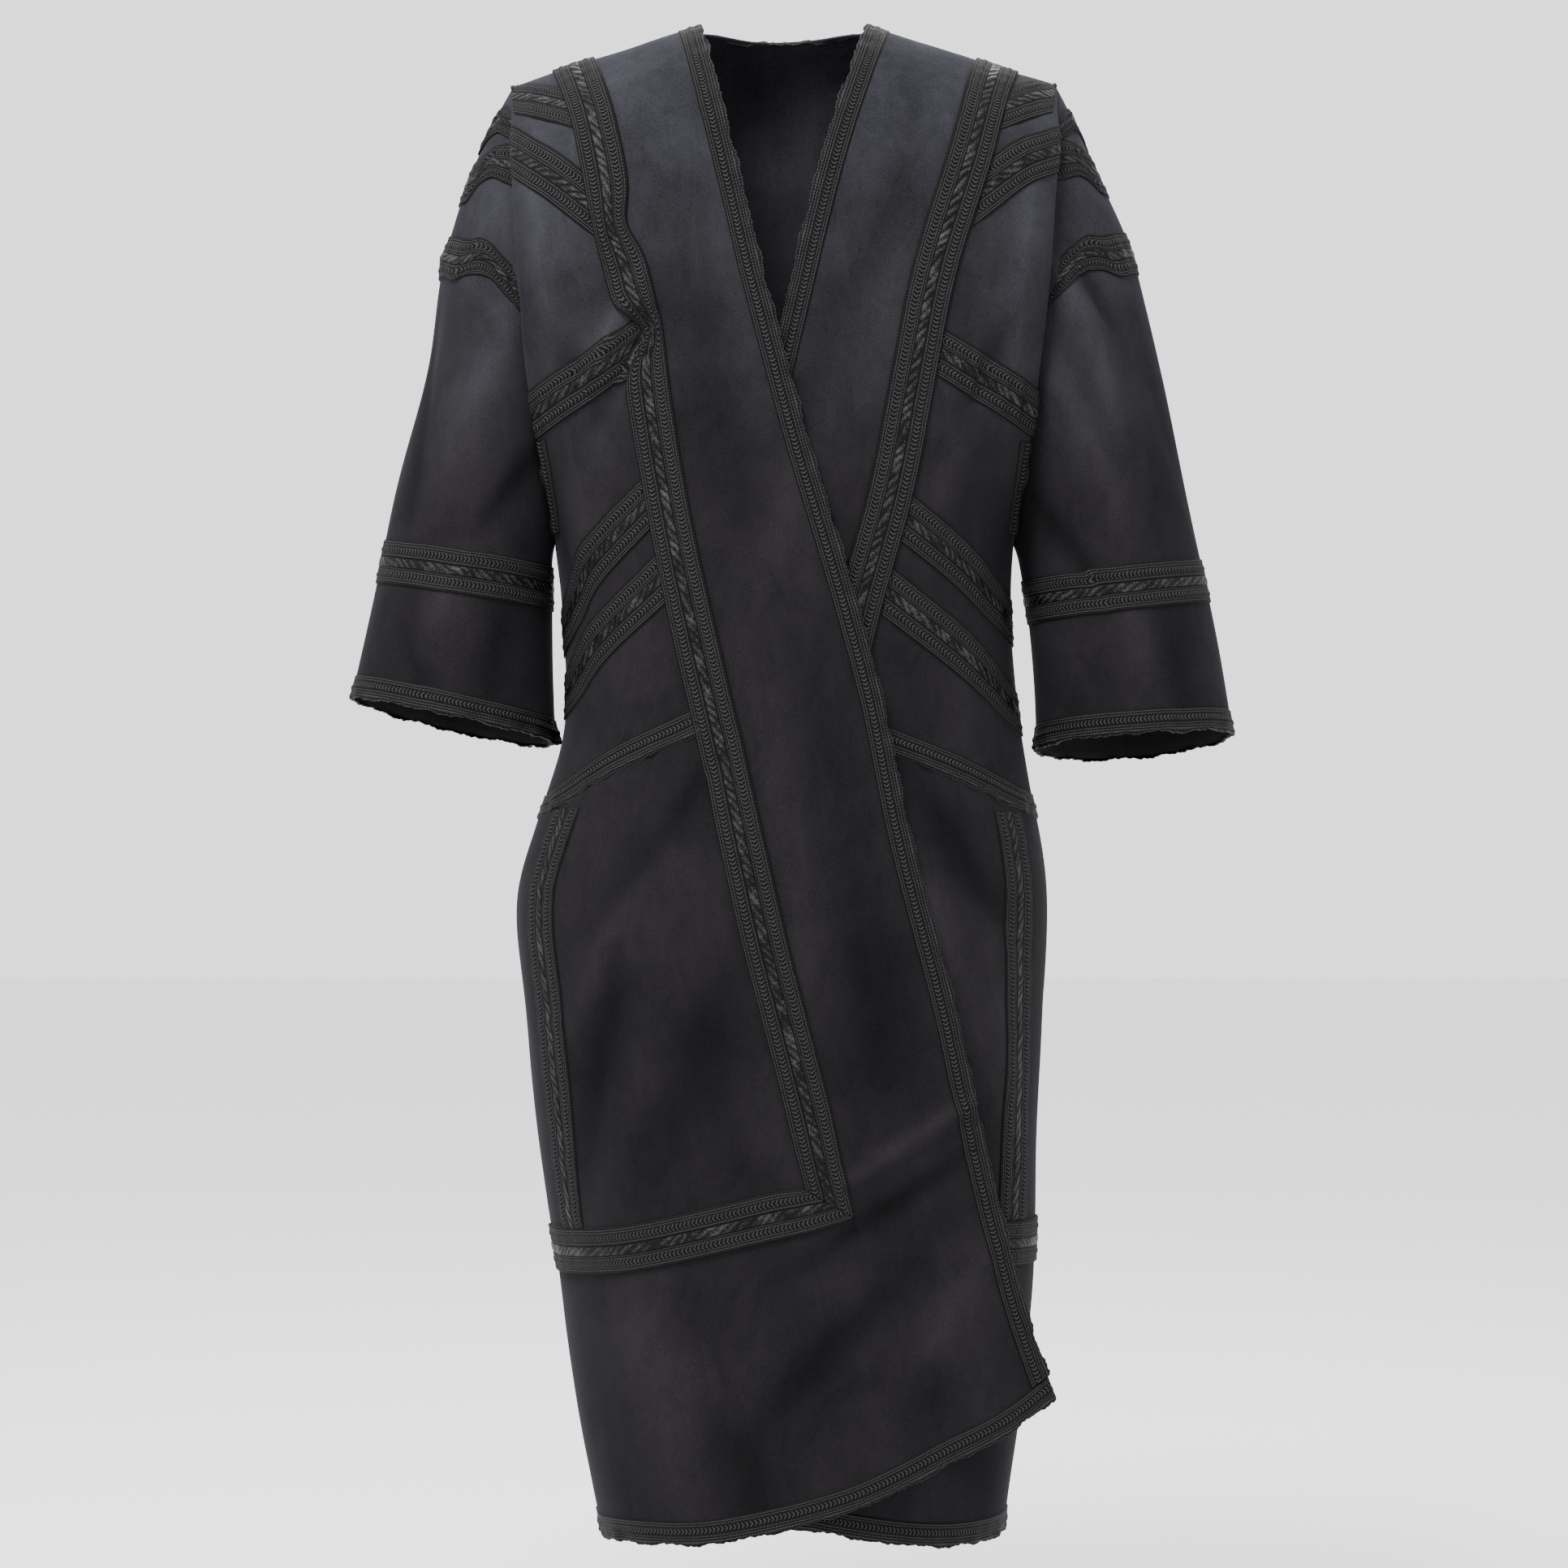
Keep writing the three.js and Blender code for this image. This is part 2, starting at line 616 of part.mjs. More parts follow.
// Rows for a braid of a given width, one on each of the panel's lines that it crosses. The middle is
// the list of places where it crosses them, and direction runs along those lines.
function rowsAcross(panel, middle, direction, from, to, points) {
  const along = middle.map((place) => panel.point(...place));
  return middle.map((place, i) => {
    const route = along[Math.min(i + 1, along.length - 1)].clone().sub(along[Math.max(i - 1, 0)]).normalize();
    const probe = 0.001;
    const line = panel.point(place[0] + direction[0] * probe, place[1] + direction[1] * probe)
      .sub(along[i]).normalize();
    const slant = Math.max(Math.sin(line.angleTo(route)), 0.35);
    return Array.from({ length: points }, (_, k) => {
      const distance = (from + ((to - from) * k) / (points - 1)) / slant;
      return Math.abs(distance) < 1e-9 ? place : walk(panel, place, direction, distance);
    });
  });
}

// Rows between two rows
function fill(first, last, count) {
  return Array.from({ length: count }, (_, i) => {
    const t = (i + 1) / (count + 1);
    return first.map(([u, v], k) => [u + (last[k][0] - u) * t, v + (last[k][1] - v) * t]);
  });
}

// The place of a panel that shows at a point of the front view
function locate(panel, x, down, guess) {
  let [u, v] = guess;
  const step = 1e-4;
  for (let k = 0; k < 24; k += 1) {
    const here = panel.point(u, v);
    const byU = panel.point(u + step, v).sub(here).divideScalar(step);
    const byV = panel.point(u, v + step).sub(here).divideScalar(step);
    const missX = x - here.x;
    const missZ = -down - here.z;
    const det = byU.x * byV.z - byV.x * byU.z;
    u = clamp(u + (missX * byV.z - byV.x * missZ) / det, 0.001, 0.999);
    v = clamp(v + (byU.x * missZ - missX * byU.z) / det, 0.001, 0.999);
  }
  return [u, v];
}

// Garment

const panels = {
  right: { ...makeFront(bodyFaces.wrap, -1, rightEdgeAt, rightHem, rightColumns), turn: -1 },
  left: { ...makeFront(bodyFaces.front, 1, leftEdgeAt, leftHem, leftColumns), turn: 1 },
  back: { ...makeBack(), turn: 1 },
  rightSleeve: { ...makeSleeve("right"), turn: 1 },
  leftSleeve: { ...makeSleeve("left"), turn: -1 },
};

const clothMaterial = new THREE.MeshStandardMaterial({ color: "#2b2b30", roughness: 0.95, metalness: 0 });
const braidMaterial = new THREE.MeshStandardMaterial({ color: "#34343a", roughness: 0.7, metalness: 0 });

const garment = new THREE.Group();

function add(name, geometry, material) {
  const mesh = new THREE.Mesh(geometry, material);
  mesh.name = name;
  garment.add(mesh);
}

function addCloth() {
  add("front_right", clothWall(panels.right), clothMaterial);
  add("front_left", clothWall(panels.left), clothMaterial);
  add("back", clothWall(panels.back), clothMaterial);
  add("sleeve_right", clothWall(panels.rightSleeve), clothMaterial);
  add("sleeve_left", clothWall(panels.leftSleeve), clothMaterial);
}

const inset = 0.4;
const seamClear = { shoulder_band: 30, yoke_band: 9, chest_band: 9 };
const alongU = [1, 0];
const alongV = [0, 1];

// How much of a panel's height a hem braid takes at a place across
const hemShare = (panel, u) => 1 - walk(panel, [u, 1], alongV, -(narrowBraid + 2 * inset))[1];

// The narrow braids on the front edges, the neck and the hems

function addEdgeBraids() {
  for (const side of ["right", "left"]) {
    const panel = panels[side];
    const end = 1 - hemShare(panel, 1);
    const lines = [...panel.down.filter((v) => v < end - 0.006), end];
    const edge = lines.map((v) => [1, v]);
    const rows = rowsAcross(panel, edge, alongU, -inset, -narrowBraid, 2);
    add(`edge_braid_${side}`, braidOn(panel, rows), braidMaterial);

    const hem = panel.across.map((u) => [u, 1]);
    add(`hem_braid_${side}`, braidOn(panel, rowsAcross(panel, hem, alongV, -inset, -narrowBraid, 2)), braidMaterial);
  }
  const back = panels.back;
  const hem = back.across.map((u) => [u, 1]);
  add("hem_braid_back", braidOn(back, rowsAcross(back, hem, alongV, -inset, -narrowBraid, 2)), braidMaterial);

  const [neckRight, neckLeft] = back.neck;
  const inside = back.across.filter((u) => u > neckRight + 0.005 && u < neckLeft - 0.005);
  const extra = [neckRight + 0.012, neckLeft - 0.012];
  const places = [...inside, ...extra].sort((a, b) => a - b).map((u) => [u, 0]);
  const rows = rowsAcross(back, places, alongV, inset, narrowBraid, 2);
  add("neck_braid_back", braidOn(back, rows), braidMaterial);
}

// The wide braid down a front, and the band that it turns into above the hem

function addLongBraids() {
  const routes = {
    right: { line: rightLine, band: rightBand, inner: { x: 17.5, down: 1020 }, outer: { x: 61.5, down: 1046 } },
    left: { line: leftLine, band: leftBand, inner: { x: -16, down: 1020 }, outer: { x: -60, down: 1046 } },
  };
  for (const side of ["right", "left"]) {
    const panel = panels[side];
    const { line, band, inner, outer } = routes[side];
    const lineX = column(line, "x");
    const bandDown = column(band, "down", "x");
    const turnDown = line[line.length - 1].down;

    const middle = [];
    for (const v of panel.down) {
      const miss = (u) => {
        const p = panel.point(u, v);
        return p.x - lineX(-p.z);
      };
      const u = crossing(miss, 0.02, 0.98);
      if (u !== null && -panel.point(u, v).z < turnDown - 30) middle.push([u, v]);
    }
    const rows = rowsAcross(panel, middle, alongU, -wideBraid / 2, wideBraid / 2, 3);
    const guess = middle[middle.length - 1];
    const corners = [inner, { x: (inner.x + outer.x) / 2, down: (inner.down + outer.down) / 2 }, outer];
    const mitre = corners.map(({ x, down }) => locate(panel, x, down - seamGap, guess));
    rows.push(...fill(rows[rows.length - 1], mitre, 2), mitre);
    add(`front_line_${side}`, braidOn(panel, rows, false, curvedBraidLift), braidMaterial);

    const crossingPlaces = [];
    const hand = side === "right" ? 1 : -1;
    for (const u of panel.across) {
      const miss = (v) => {
        const p = panel.point(u, v);
        return -p.z - bandDown(p.x);
      };
      const v = crossing(miss, 0.5, 0.98);
      if (v !== null && hand * (inner.x - panel.point(u, v).x) > 8) crossingPlaces.push([u, v]);
    }
    const bandRows = rowsAcross(panel, crossingPlaces, alongV, -wideBraid / 2, wideBraid / 2, 3);
    const mitreBelow = corners.map(({ x, down }) => locate(panel, x, down + seamGap, guess));
    bandRows.push(...fill(bandRows[bandRows.length - 1], mitreBelow, 2), mitreBelow);
    add(`front_band_${side}`, braidOn(panel, bandRows), braidMaterial);

    const bandTop = bandRows[0][0][1];
    const sideRows = [];
    const topV = crossing((v) => -panel.point(0.05, v).z - sideBand.top, 0.2, 0.9);
    const bottomV = bandTop - 0.004;
    for (const v of [topV, ...panel.down.filter((w) => w > topV + 0.01 && w < bottomV - 0.01), bottomV]) {
      const nearEdge = walk(panel, [0, v], alongU, sideBand.fromSeam - wideBraid / 2);
      const centre = walk(panel, nearEdge, alongU, wideBraid / 2);
      sideRows.push([nearEdge, centre, walk(panel, centre, alongU, wideBraid / 2)]);
    }
    add(`side_band_${side}`, braidOn(panel, sideRows, false, curvedBraidLift), braidMaterial);
  }

  const back = panels.back;
  const places = back.across.map((u) => {
    const down = backBand.rightDown + (backBand.leftDown - backBand.rightDown) * u;
    return [u, crossing((v) => -back.point(u, v).z - down, 0.5, 0.98)];
  });
  add("back_band", braidOn(back, rowsAcross(back, places, alongV, -wideBraid / 2, wideBraid / 2, 3)), braidMaterial);
}

// The slanted bands on the fronts

function addSlantedBands() {
  const bands = [
    { name: "shoulder_band", routes: shoulderBand, lift: curvedBraidLift },
    { name: "yoke_band", routes: yokeBand, lift: curvedBraidLift },
    { name: "chest_band", routes: chestBand, lift: 1.2 },
    { name: "upper_waist_band", routes: upperWaistBand, lift: curvedBraidLift },
    { name: "lower_waist_band", routes: lowerWaistBand, lift: curvedBraidLift },
    { name: "pocket_band", routes: pocketBand, lift: braidLift },
  ];
  for (const { name, routes, lift } of bands) {
    for (const side of ["right", "left"]) {
      const panel = panels[side];
      const route = routes[side];
      const routeDown = column(route, "down", "x");
      const width = name === "pocket_band" ? narrowBraid : wideBraid;
      const inside = side === "right" ? route[route.length - 1] : route[0];
      const stop = locate(panel, inside.x, inside.down, [0.4, inside.down / 1400]);
      const clear = inside.down < underarm.down - 100 ? walk(panel, [0, stop[1]], alongU, seamClear[name])[0] : 0;
      const half = panel.across.map((u) => u + 0.5 / (panel.across.length - 1));
      const inner = [...panel.across, ...half].filter((u) => u > clear + 0.01 && u < stop[0] - 0.012);
      const lines = [clear, ...inner.sort((a, b) => a - b), stop[0]];
      const middle = lines.map((u) => {
        const miss = (v) => {
          const p = panel.point(u, v);
          return -p.z - routeDown(p.x);
        };
        return [u, crossing(miss, 0.001, 0.9)];
      });
      const rows = rowsAcross(panel, middle, alongV, -width / 2, width / 2, width === wideBraid ? 3 : 2);
      add(`${name}_${side}`, braidOn(panel, rows, false, lift), braidMaterial);
    }
  }
}

// The braid along the front of each armhole, laid on the body beside the seam

function addArmholeBraids() {
  for (const side of ["right", "left"]) {
    const panel = panels[side];
    const from = crossing((v) => -panel.point(0, v).z - armholeBraid.from, 0.02, 0.9);
    const to = crossing((v) => -panel.point(0, v).z - armholeBraid.to, 0.02, 0.9);
    const lines = [from, ...panel.down.filter((v) => v > from + 0.006 && v < to - 0.006), to];
    const { inside } = armholeBraid;
    const rows = rowsAcross(panel, lines.map((v) => [0, v]), alongU, inside, inside + narrowBraid, 3);
    add(`armhole_braid_${side}`, braidOn(panel, rows, false, curvedBraidLift), braidMaterial);
  }
}

// The bands and cuff braids on the sleeves

function addSleeveBraids() {
  for (const { name, side, x, down, slope, start } of [...sleeveBands, ...sleeveRings]) {
    const panel = panels[`${side}Sleeve`];
    const miss = (u, v) => {
      const p = panel.point(u, v);
      return -p.z - down - slope * (Math.abs(p.x) - x);
    };
    const isRing = name === "lower_ring";
    const lines = panel.across.map((u) => [u, crossing((v) => miss(u, v), 0, 1)]);
    const middle = lines.filter(([, v]) => v !== null);
    if (isRing) {
      const looped = [middle[middle.length - 1], ...middle, middle[0]];
      const rows = rowsAcross(panel, looped, alongV, -wideBraid / 2, wideBraid / 2, 3).slice(1, -1);
      add(`${name}_${side}`, braidOn(panel, rows, true, curvedBraidLift), braidMaterial);
      continue;
    }
    const seamFront = [crossing((u) => miss(u, start), 0.02, 0.48), start];
    const seamBack = [crossing((u) => miss(u, start), 0.52, 0.98), start];
    const all = [seamFront, ...middle.filter(([u]) => u > seamFront[0] && u < seamBack[0]), seamBack];
    const rows = rowsAcross(panel, all, alongV, -wideBraid / 2, wideBraid / 2, 3);
    const seamRow = (place, towardTop) => [-1, 0, 1].map((k) => (
      walk(panel, place, alongU, (-k * towardTop * wideBraid) / 2 || 1e-6)
    ));
    const whole = rows.slice(1, -1).filter((row) => row.every(([, v]) => v > start + 0.012));
    const first = seamRow(seamFront, 1);
    const last = seamRow(seamBack, -1);
    const inner = [...fill(first, whole[0], 2), ...whole, ...fill(whole[whole.length - 1], last, 2)];
    add(`sleeve_${name}_${side}`, braidOn(panel, [first, ...inner, last], false, curvedBraidLift), braidMaterial);
  }
  for (const side of ["right", "left"]) {
    const panel = panels[`${side}Sleeve`];
    const cuff = panel.across.map((u) => [u, 1]);
    const looped = [cuff[cuff.length - 1], ...cuff, cuff[0]];
    const rows = rowsAcross(panel, looped, alongV, -inset, -narrowBraid, 2).slice(1, -1);
    add(`cuff_braid_${side}`, braidOn(panel, rows, true), braidMaterial);
  }
}

addCloth();
addEdgeBraids();
addLongBraids();
addSlantedBands();
addArmholeBraids();
addSleeveBraids();

export default garment;
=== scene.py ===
import math

import bmesh
import bpy
import numpy as np
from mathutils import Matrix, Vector
from mathutils.bvhtree import BVHTree
from mathutils.kdtree import KDTree


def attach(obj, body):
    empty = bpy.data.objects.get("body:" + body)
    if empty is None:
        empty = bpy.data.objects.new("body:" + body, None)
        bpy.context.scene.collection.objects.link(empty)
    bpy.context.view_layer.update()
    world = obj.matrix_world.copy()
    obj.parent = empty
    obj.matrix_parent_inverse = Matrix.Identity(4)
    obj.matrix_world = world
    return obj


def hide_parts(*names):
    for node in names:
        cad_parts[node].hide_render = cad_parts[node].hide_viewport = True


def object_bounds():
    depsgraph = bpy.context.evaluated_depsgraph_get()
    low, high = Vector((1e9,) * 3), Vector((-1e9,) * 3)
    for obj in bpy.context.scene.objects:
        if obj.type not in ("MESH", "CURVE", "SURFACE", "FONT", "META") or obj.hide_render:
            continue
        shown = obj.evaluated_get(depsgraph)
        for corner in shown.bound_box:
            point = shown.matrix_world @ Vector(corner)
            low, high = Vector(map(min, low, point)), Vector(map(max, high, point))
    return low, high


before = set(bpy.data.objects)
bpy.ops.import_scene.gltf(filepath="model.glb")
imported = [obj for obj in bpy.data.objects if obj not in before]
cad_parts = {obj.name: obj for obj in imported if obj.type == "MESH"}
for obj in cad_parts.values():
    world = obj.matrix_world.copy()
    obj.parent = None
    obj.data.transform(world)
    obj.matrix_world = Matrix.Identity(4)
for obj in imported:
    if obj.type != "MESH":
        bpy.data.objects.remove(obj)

# A wrap-front robe of brushed suede cloth, trimmed with braid. Metres, with the frame's axes: Z is up,
# the front faces -Y, and the side that is the right one when the robe is worn is at -X.

cad_box = [list(corner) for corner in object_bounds()]
MM = 0.001


# Camera, floor and light
#
# The robe hangs level with the camera, which stands 3.5 m in front of it, as in the photograph. Soft
# light comes from high in front and from both sides, over a pale floor.

CAMERA_DISTANCE = 3.52
CAMERA_HEIGHT = -0.6745
LENS_MM = 90.5
SENSOR_MM = 36
SEES_TO = 60
FLOOR_HALF_SIZE = 14
FLOOR_BELOW_HEM = 0.2
LIT_PLACE = (0, 0, -0.6)


def linear(hex_colour):
    """An sRGB hex colour as linear red, green, blue and alpha."""
    channels = [int(hex_colour[i:i + 2], 16) / 255 for i in (1, 3, 5)]
    return [c / 12.92 if c <= 0.04045 else ((c + 0.055) / 1.055) ** 2.4 for c in channels] + [1]


def node(tree, kind, inputs=None, **settings):
    """Adds a node, sets its options, and fills its inputs with values or links them to sockets."""
    made = tree.nodes.new(kind)
    for name, value in settings.items():
        setattr(made, name, value)
    for key, value in (inputs or {}).items():
        if isinstance(value, bpy.types.NodeSocket):
            tree.links.new(value, made.inputs[key])
        else:
            made.inputs[key].default_value = value
    return made


def aim(holder, target):
    """Turns an object so that its -Z points at a place."""
    holder.rotation_euler = (Vector(target) - holder.location).to_track_quat("-Z", "Y").to_euler()


camera = bpy.data.objects.new("camera", bpy.data.cameras.new("camera"))
camera.location = (0, -CAMERA_DISTANCE, CAMERA_HEIGHT)
camera.data.lens = LENS_MM
camera.data.sensor_width = SENSOR_MM
camera.data.clip_end = SEES_TO
aim(camera, (0, 0, CAMERA_HEIGHT))
bpy.context.scene.collection.objects.link(camera)
bpy.context.scene.camera = camera

floor_mesh = bmesh.new()
bmesh.ops.create_grid(floor_mesh, x_segments=1, y_segments=1, size=FLOOR_HALF_SIZE)
bmesh.ops.translate(floor_mesh, verts=floor_mesh.verts, vec=(0, 0, cad_box[0][2] - FLOOR_BELOW_HEM))
floor = bpy.data.objects.new("floor", bpy.data.meshes.new("floor"))
floor_mesh.to_mesh(floor.data)
bpy.context.scene.collection.objects.link(floor)

pale = bpy.data.materials.new("pale_floor")
pale.use_nodes = True
surface = pale.node_tree.nodes["Principled BSDF"]
surface.inputs["Base Color"].default_value = linear("#f2f2f2")
surface.inputs["Roughness"].default_value = 0.9
floor.data.materials.append(pale)

world = bpy.data.worlds.new("studio")
world.use_nodes = True
world.node_tree.nodes["Background"].inputs["Color"].default_value = linear("#fafbff")
world.node_tree.nodes["Background"].inputs["Strength"].default_value = 2.0
bpy.context.scene.world = world

lights = [
    # name, place, width, power
    ("key_above", (-0.7, -1.5, 1.9), 0.9, 205),
    ("side_right", (-2.4, -0.8, 0.2), 0.9, 16),
    ("side_left", (2.4, -0.7, 0.3), 0.9, 14),
    ("behind_above", (0.2, 2.4, 1.6), 1.6, 50),
]
for name, place, width, power in lights:
    lamp = bpy.data.objects.new(name, bpy.data.lights.new(name, "AREA"))
    lamp.data.size = width
    lamp.data.energy = power
    lamp.location = place
    aim(lamp, LIT_PLACE)
    bpy.context.scene.collection.objects.link(lamp)


# Suede cloth
#
# A heavy, brushed, suede-like cloth, charcoal with a little blue. Its nap lies in soft patches and
# brush marks. Its colour carries painted highlight on the ridges of the folds and painted shade between
# them, and painted light from above that makes it paler towards the shoulders.

# The real nap's fibres are too fine to show, so its grain is drawn as coarse as the picture needs.
NAP_GRAIN = 1.1 * MM
NAP_RELIEF = 0.35 * MM
GRAIN_SHARE = 1.3
NAP_PATCH = 95 * MM
BRUSH_MARK = 21 * MM
BRUSH_MARK_LEAN = 0.5
BRUSH_MARK_STRETCH = 0.5
BRUSH_MARK_SHARE = 0.7

# Heights on the robe between which the cloth's colour grows paler upwards: painted light from above
TOP_LIGHT_LOWEST = -0.42
TOP_LIGHT_FULL = 0.02


def suede(name, upper, lower):
    """Brushed suede cloth. upper and lower are pairs of colours, raised nap and laid nap, for the shoulders,
    which are paler with painted light from above, and for the skirt. The colour is also scaled by the
    fold attribute: painted highlight on the folds' ridges and painted shade between them."""
    material = bpy.data.materials.new(name)
    material.use_nodes = True
    tree = material.node_tree
    surface = tree.nodes["Principled BSDF"]
    place = node(tree, "ShaderNodeTexCoord").outputs["Object"]
    blotches = node(tree, "ShaderNodeTexNoise", {
        "Vector": place, "Scale": 1 / NAP_PATCH, "Detail": 2, "Roughness": 0.55, "Distortion": 0.8,
    })
    leaning = node(tree, "ShaderNodeMapping", {
        "Vector": place, "Rotation": (0, BRUSH_MARK_LEAN, 0), "Scale": (1, 1, BRUSH_MARK_STRETCH),
    })
    marks = node(tree, "ShaderNodeTexNoise", {
        "Vector": leaning.outputs[0], "Scale": 1 / BRUSH_MARK, "Detail": 3, "Roughness": 0.66,
        "Distortion": 1.2,
    })
    grain = node(tree, "ShaderNodeTexNoise", {
        "Vector": place, "Scale": 1 / NAP_GRAIN, "Detail": 1, "Roughness": 0.75,
    })
    soft = node(tree, "ShaderNodeMath", {
        0: marks.outputs["Fac"], 1: BRUSH_MARK_SHARE, 2: blotches.outputs["Fac"],
    }, operation="MULTIPLY_ADD")
    fine = node(tree, "ShaderNodeMath", {
        0: grain.outputs["Fac"], 1: GRAIN_SHARE, 2: soft.outputs[0],
    }, operation="MULTIPLY_ADD")
    nap = node(tree, "ShaderNodeMapRange", {"Value": fine.outputs[0], "From Min": 1.0, "From Max": 2.0})
    tones = []
    for raised, laid in (lower, upper):
        tones.append(node(tree, "ShaderNodeMix", {
            0: nap.outputs[0], 6: linear(laid), 7: linear(raised),
        }, data_type="RGBA").outputs[2])
    # Painted light from above: the colour mixes with height from the skirt's pair to the paler shoulders'
    # pair
    height = node(tree, "ShaderNodeSeparateXYZ", {0: place}).outputs[2]
    painted_top_light = node(tree, "ShaderNodeMapRange", {
        "Value": height, "From Min": TOP_LIGHT_LOWEST, "From Max": TOP_LIGHT_FULL,
    })
    colour = node(tree, "ShaderNodeMix", {0: painted_top_light.outputs[0], 6: tones[0], 7: tones[1]}, data_type="RGBA")
    # Painted shade and highlight on the folds: the colour is scaled down in their hollows and up on their
    # ridges, by the fold heights
    fold = node(tree, "ShaderNodeAttribute", attribute_name="fold").outputs["Fac"]
    painted_fold_shade = node(tree, "ShaderNodeMapRange", {
        "Value": fold, "From Min": -1.0, "From Max": 1.0, "To Min": 0.5, "To Max": 1.5,
    }, interpolation_type="SMOOTHSTEP")
    shaded = node(tree, "ShaderNodeVectorMath", {
        0: colour.outputs[2], "Scale": painted_fold_shade.outputs[0],
    }, operation="SCALE")
    bump = node(tree, "ShaderNodeBump", {
        "Strength": 0.5, "Distance": NAP_RELIEF, "Height": grain.outputs["Fac"],
    })
    tree.links.new(shaded.outputs[0], surface.inputs["Base Color"])
    tree.links.new(bump.outputs[0], surface.inputs["Normal"])
    surface.inputs["Roughness"].default_value = 0.95
    surface.inputs["Specular IOR Level"].default_value = 0.04
    surface.inputs["Sheen Weight"].default_value = 0.03
    surface.inputs["Sheen Roughness"].default_value = 0.4
    surface.inputs["Sheen Tint"].default_value = linear("#c8cede")
    return material


# The first pair, for the shoulders, is paler with painted light from above; the second is for the skirt
suede_face = suede("suede_face", ("#2d2d32", "#17171a"), ("#1b191b", "#0d0c0d"))


# Cloth pieces
#
# Right front, left front, back and two sleeves, each cut flat and sewn at the shoulders, armholes and
# sides. The heavy cloth falls in a few broad folds, with short creases at the sleeves and the waist.

CLOTH_THICKNESS = 1.9 * MM
RIM = 3 * MM
RIM_ANGLE = math.radians(50)
SAME_PLACE = 0.001 * MM
FOLD_SHADE = 6 * MM
SEWN_WIDTH = 25 * MM
SEAM_STEP = 0.5 * MM
SIDE_SEAM_REACH = 5 * MM
ARMHOLE_REACH = 7 * MM
CREASE_SHARPNESS = 1.6
RIPPLES = 9
RIPPLE_LENGTHS = (55, 150)
RIPPLE_HEIGHTS = (0.15, 0.42)
BODY_MIDDLE = (0, 0, -0.6)
SLEEVE_RIGHT_MIDDLE = (-0.27, 0, -0.35)
SLEEVE_LEFT_MIDDLE = (0.28, 0, -0.35)


def patches(faces, angle):
    """Faces in groups that no edge sharper than the angle divides."""
    unseen = set(faces)
    groups = []
    for first in faces:
        if first not in unseen:
            continue
        unseen.discard(first)
        stack, group = [first], [first]
        while stack:
            face = stack.pop()
            for edge in face.edges:
                for other in edge.link_faces:
                    if other in unseen and face.normal.angle(other.normal, 0) < angle:
                        unseen.discard(other)
                        stack.append(other)
                        group.append(other)
        groups.append(group)
    return groups


def outer_skin(name, axis, tube):
    """The outer face of a cloth wall, in quads. Axis is a place inside the garment. A tube's rims
    turn gently, so they are told by their width."""
    skin = bmesh.new()
    skin.from_mesh(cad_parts[name].data)
    bmesh.ops.remove_doubles(skin, verts=skin.verts, dist=SAME_PLACE)
    faces = [f for f in skin.faces if not tube or min(edge.calc_length() for edge in f.edges) > RIM]
    kept = set(max(
        patches(faces, math.pi if tube else RIM_ANGLE),
        key=lambda group: sum(f.calc_area() * f.normal.dot(f.calc_center_median() - axis) for f in group),
    ))
    bmesh.ops.delete(skin, geom=[f for f in skin.faces if f not in kept], context="FACES")
    bmesh.ops.join_triangles(
        skin, faces=skin.faces, angle_face_threshold=1.2, angle_shape_threshold=math.pi,
    )
    return skin


def open_edges(mesh):
    """The edges that only one face has, as pairs of vertex numbers."""
    shared = {}
    for polygon in mesh.polygons:
        for key in polygon.edge_keys:
            shared[key] = shared.get(key, 0) + 1
    return [key for key, count in shared.items() if count == 1]


def search_tree(places):
    """A tree that finds the nearest of some places."""
    tree = KDTree(len(places))
    for index, place in enumerate(places):
        tree.insert(place, index)
    tree.balance()
    return tree


def sew(piece, others, reach):
    """Draws a cloth's open edges onto the edges that they are sewn to, where those are within reach,
    and the cloth beside them with them, less and less over 25 mm."""
    seam = []
    for other in others:
        points = [v.co for v in other.data.vertices]
        for a, b in open_edges(other.data):
            steps = max(int((points[a] - points[b]).length / SEAM_STEP), 1)
            seam += [points[a].lerp(points[b], i / steps) for i in range(steps)]
    seam = search_tree(seam)
    verts = piece.data.vertices
    rim = sorted({index for edge in open_edges(piece.data) for index in edge})
    drawn = []
    for index in rim:
        place, _, far = seam.find(verts[index].co)
        drawn.append((place - verts[index].co) * min(max(2 - far / reach, 0), 1))
    rim_tree = search_tree([verts[index].co.copy() for index in rim])
    for vert in verts:
        _, nearest, far = rim_tree.find(vert.co)
        if far < SEWN_WIDTH:
            vert.co += drawn[nearest] * (1 - far / SEWN_WIDTH) ** 2


def crease_depth(points, normals, creases):
    """How far each point moves out, from a table of creases, in metres. A crease fades to nothing
    where the cloth turns away from its face."""
    depth = np.zeros(len(points))
    for face, x, down, lean, long, wide, height in creases:
        side = 1 if face == "back" else -1
        along = -points[:, 2] / MM - down
        off = points[:, 0] / MM - x - lean * along
        fade = np.exp(-((along / long) ** 2)) * np.clip(normals[:, 1] * side * 2 + 0.4, 0, 1)
        depth += height * MM * fade * np.exp(-np.abs(off / wide) ** CREASE_SHARPNESS)
    return depth


def ripple(points, seed):
    """Broad, faint waves, about a millimetre high, as heavy cloth has between its folds."""
    draw = np.random.default_rng(seed)
    total = np.zeros(len(points))
    for _ in range(RIPPLES):
        turn = draw.uniform(0, 2 * math.pi)
        length = draw.uniform(*RIPPLE_LENGTHS) * MM
        along = points @ np.array([math.cos(turn), 0.5 * math.sin(turn * 2), 0.55 * math.sin(turn)])
        height = draw.uniform(*RIPPLE_HEIGHTS) * MM
        total += height * np.sin(2 * math.pi * along / length + draw.uniform(0, 6))
    return total


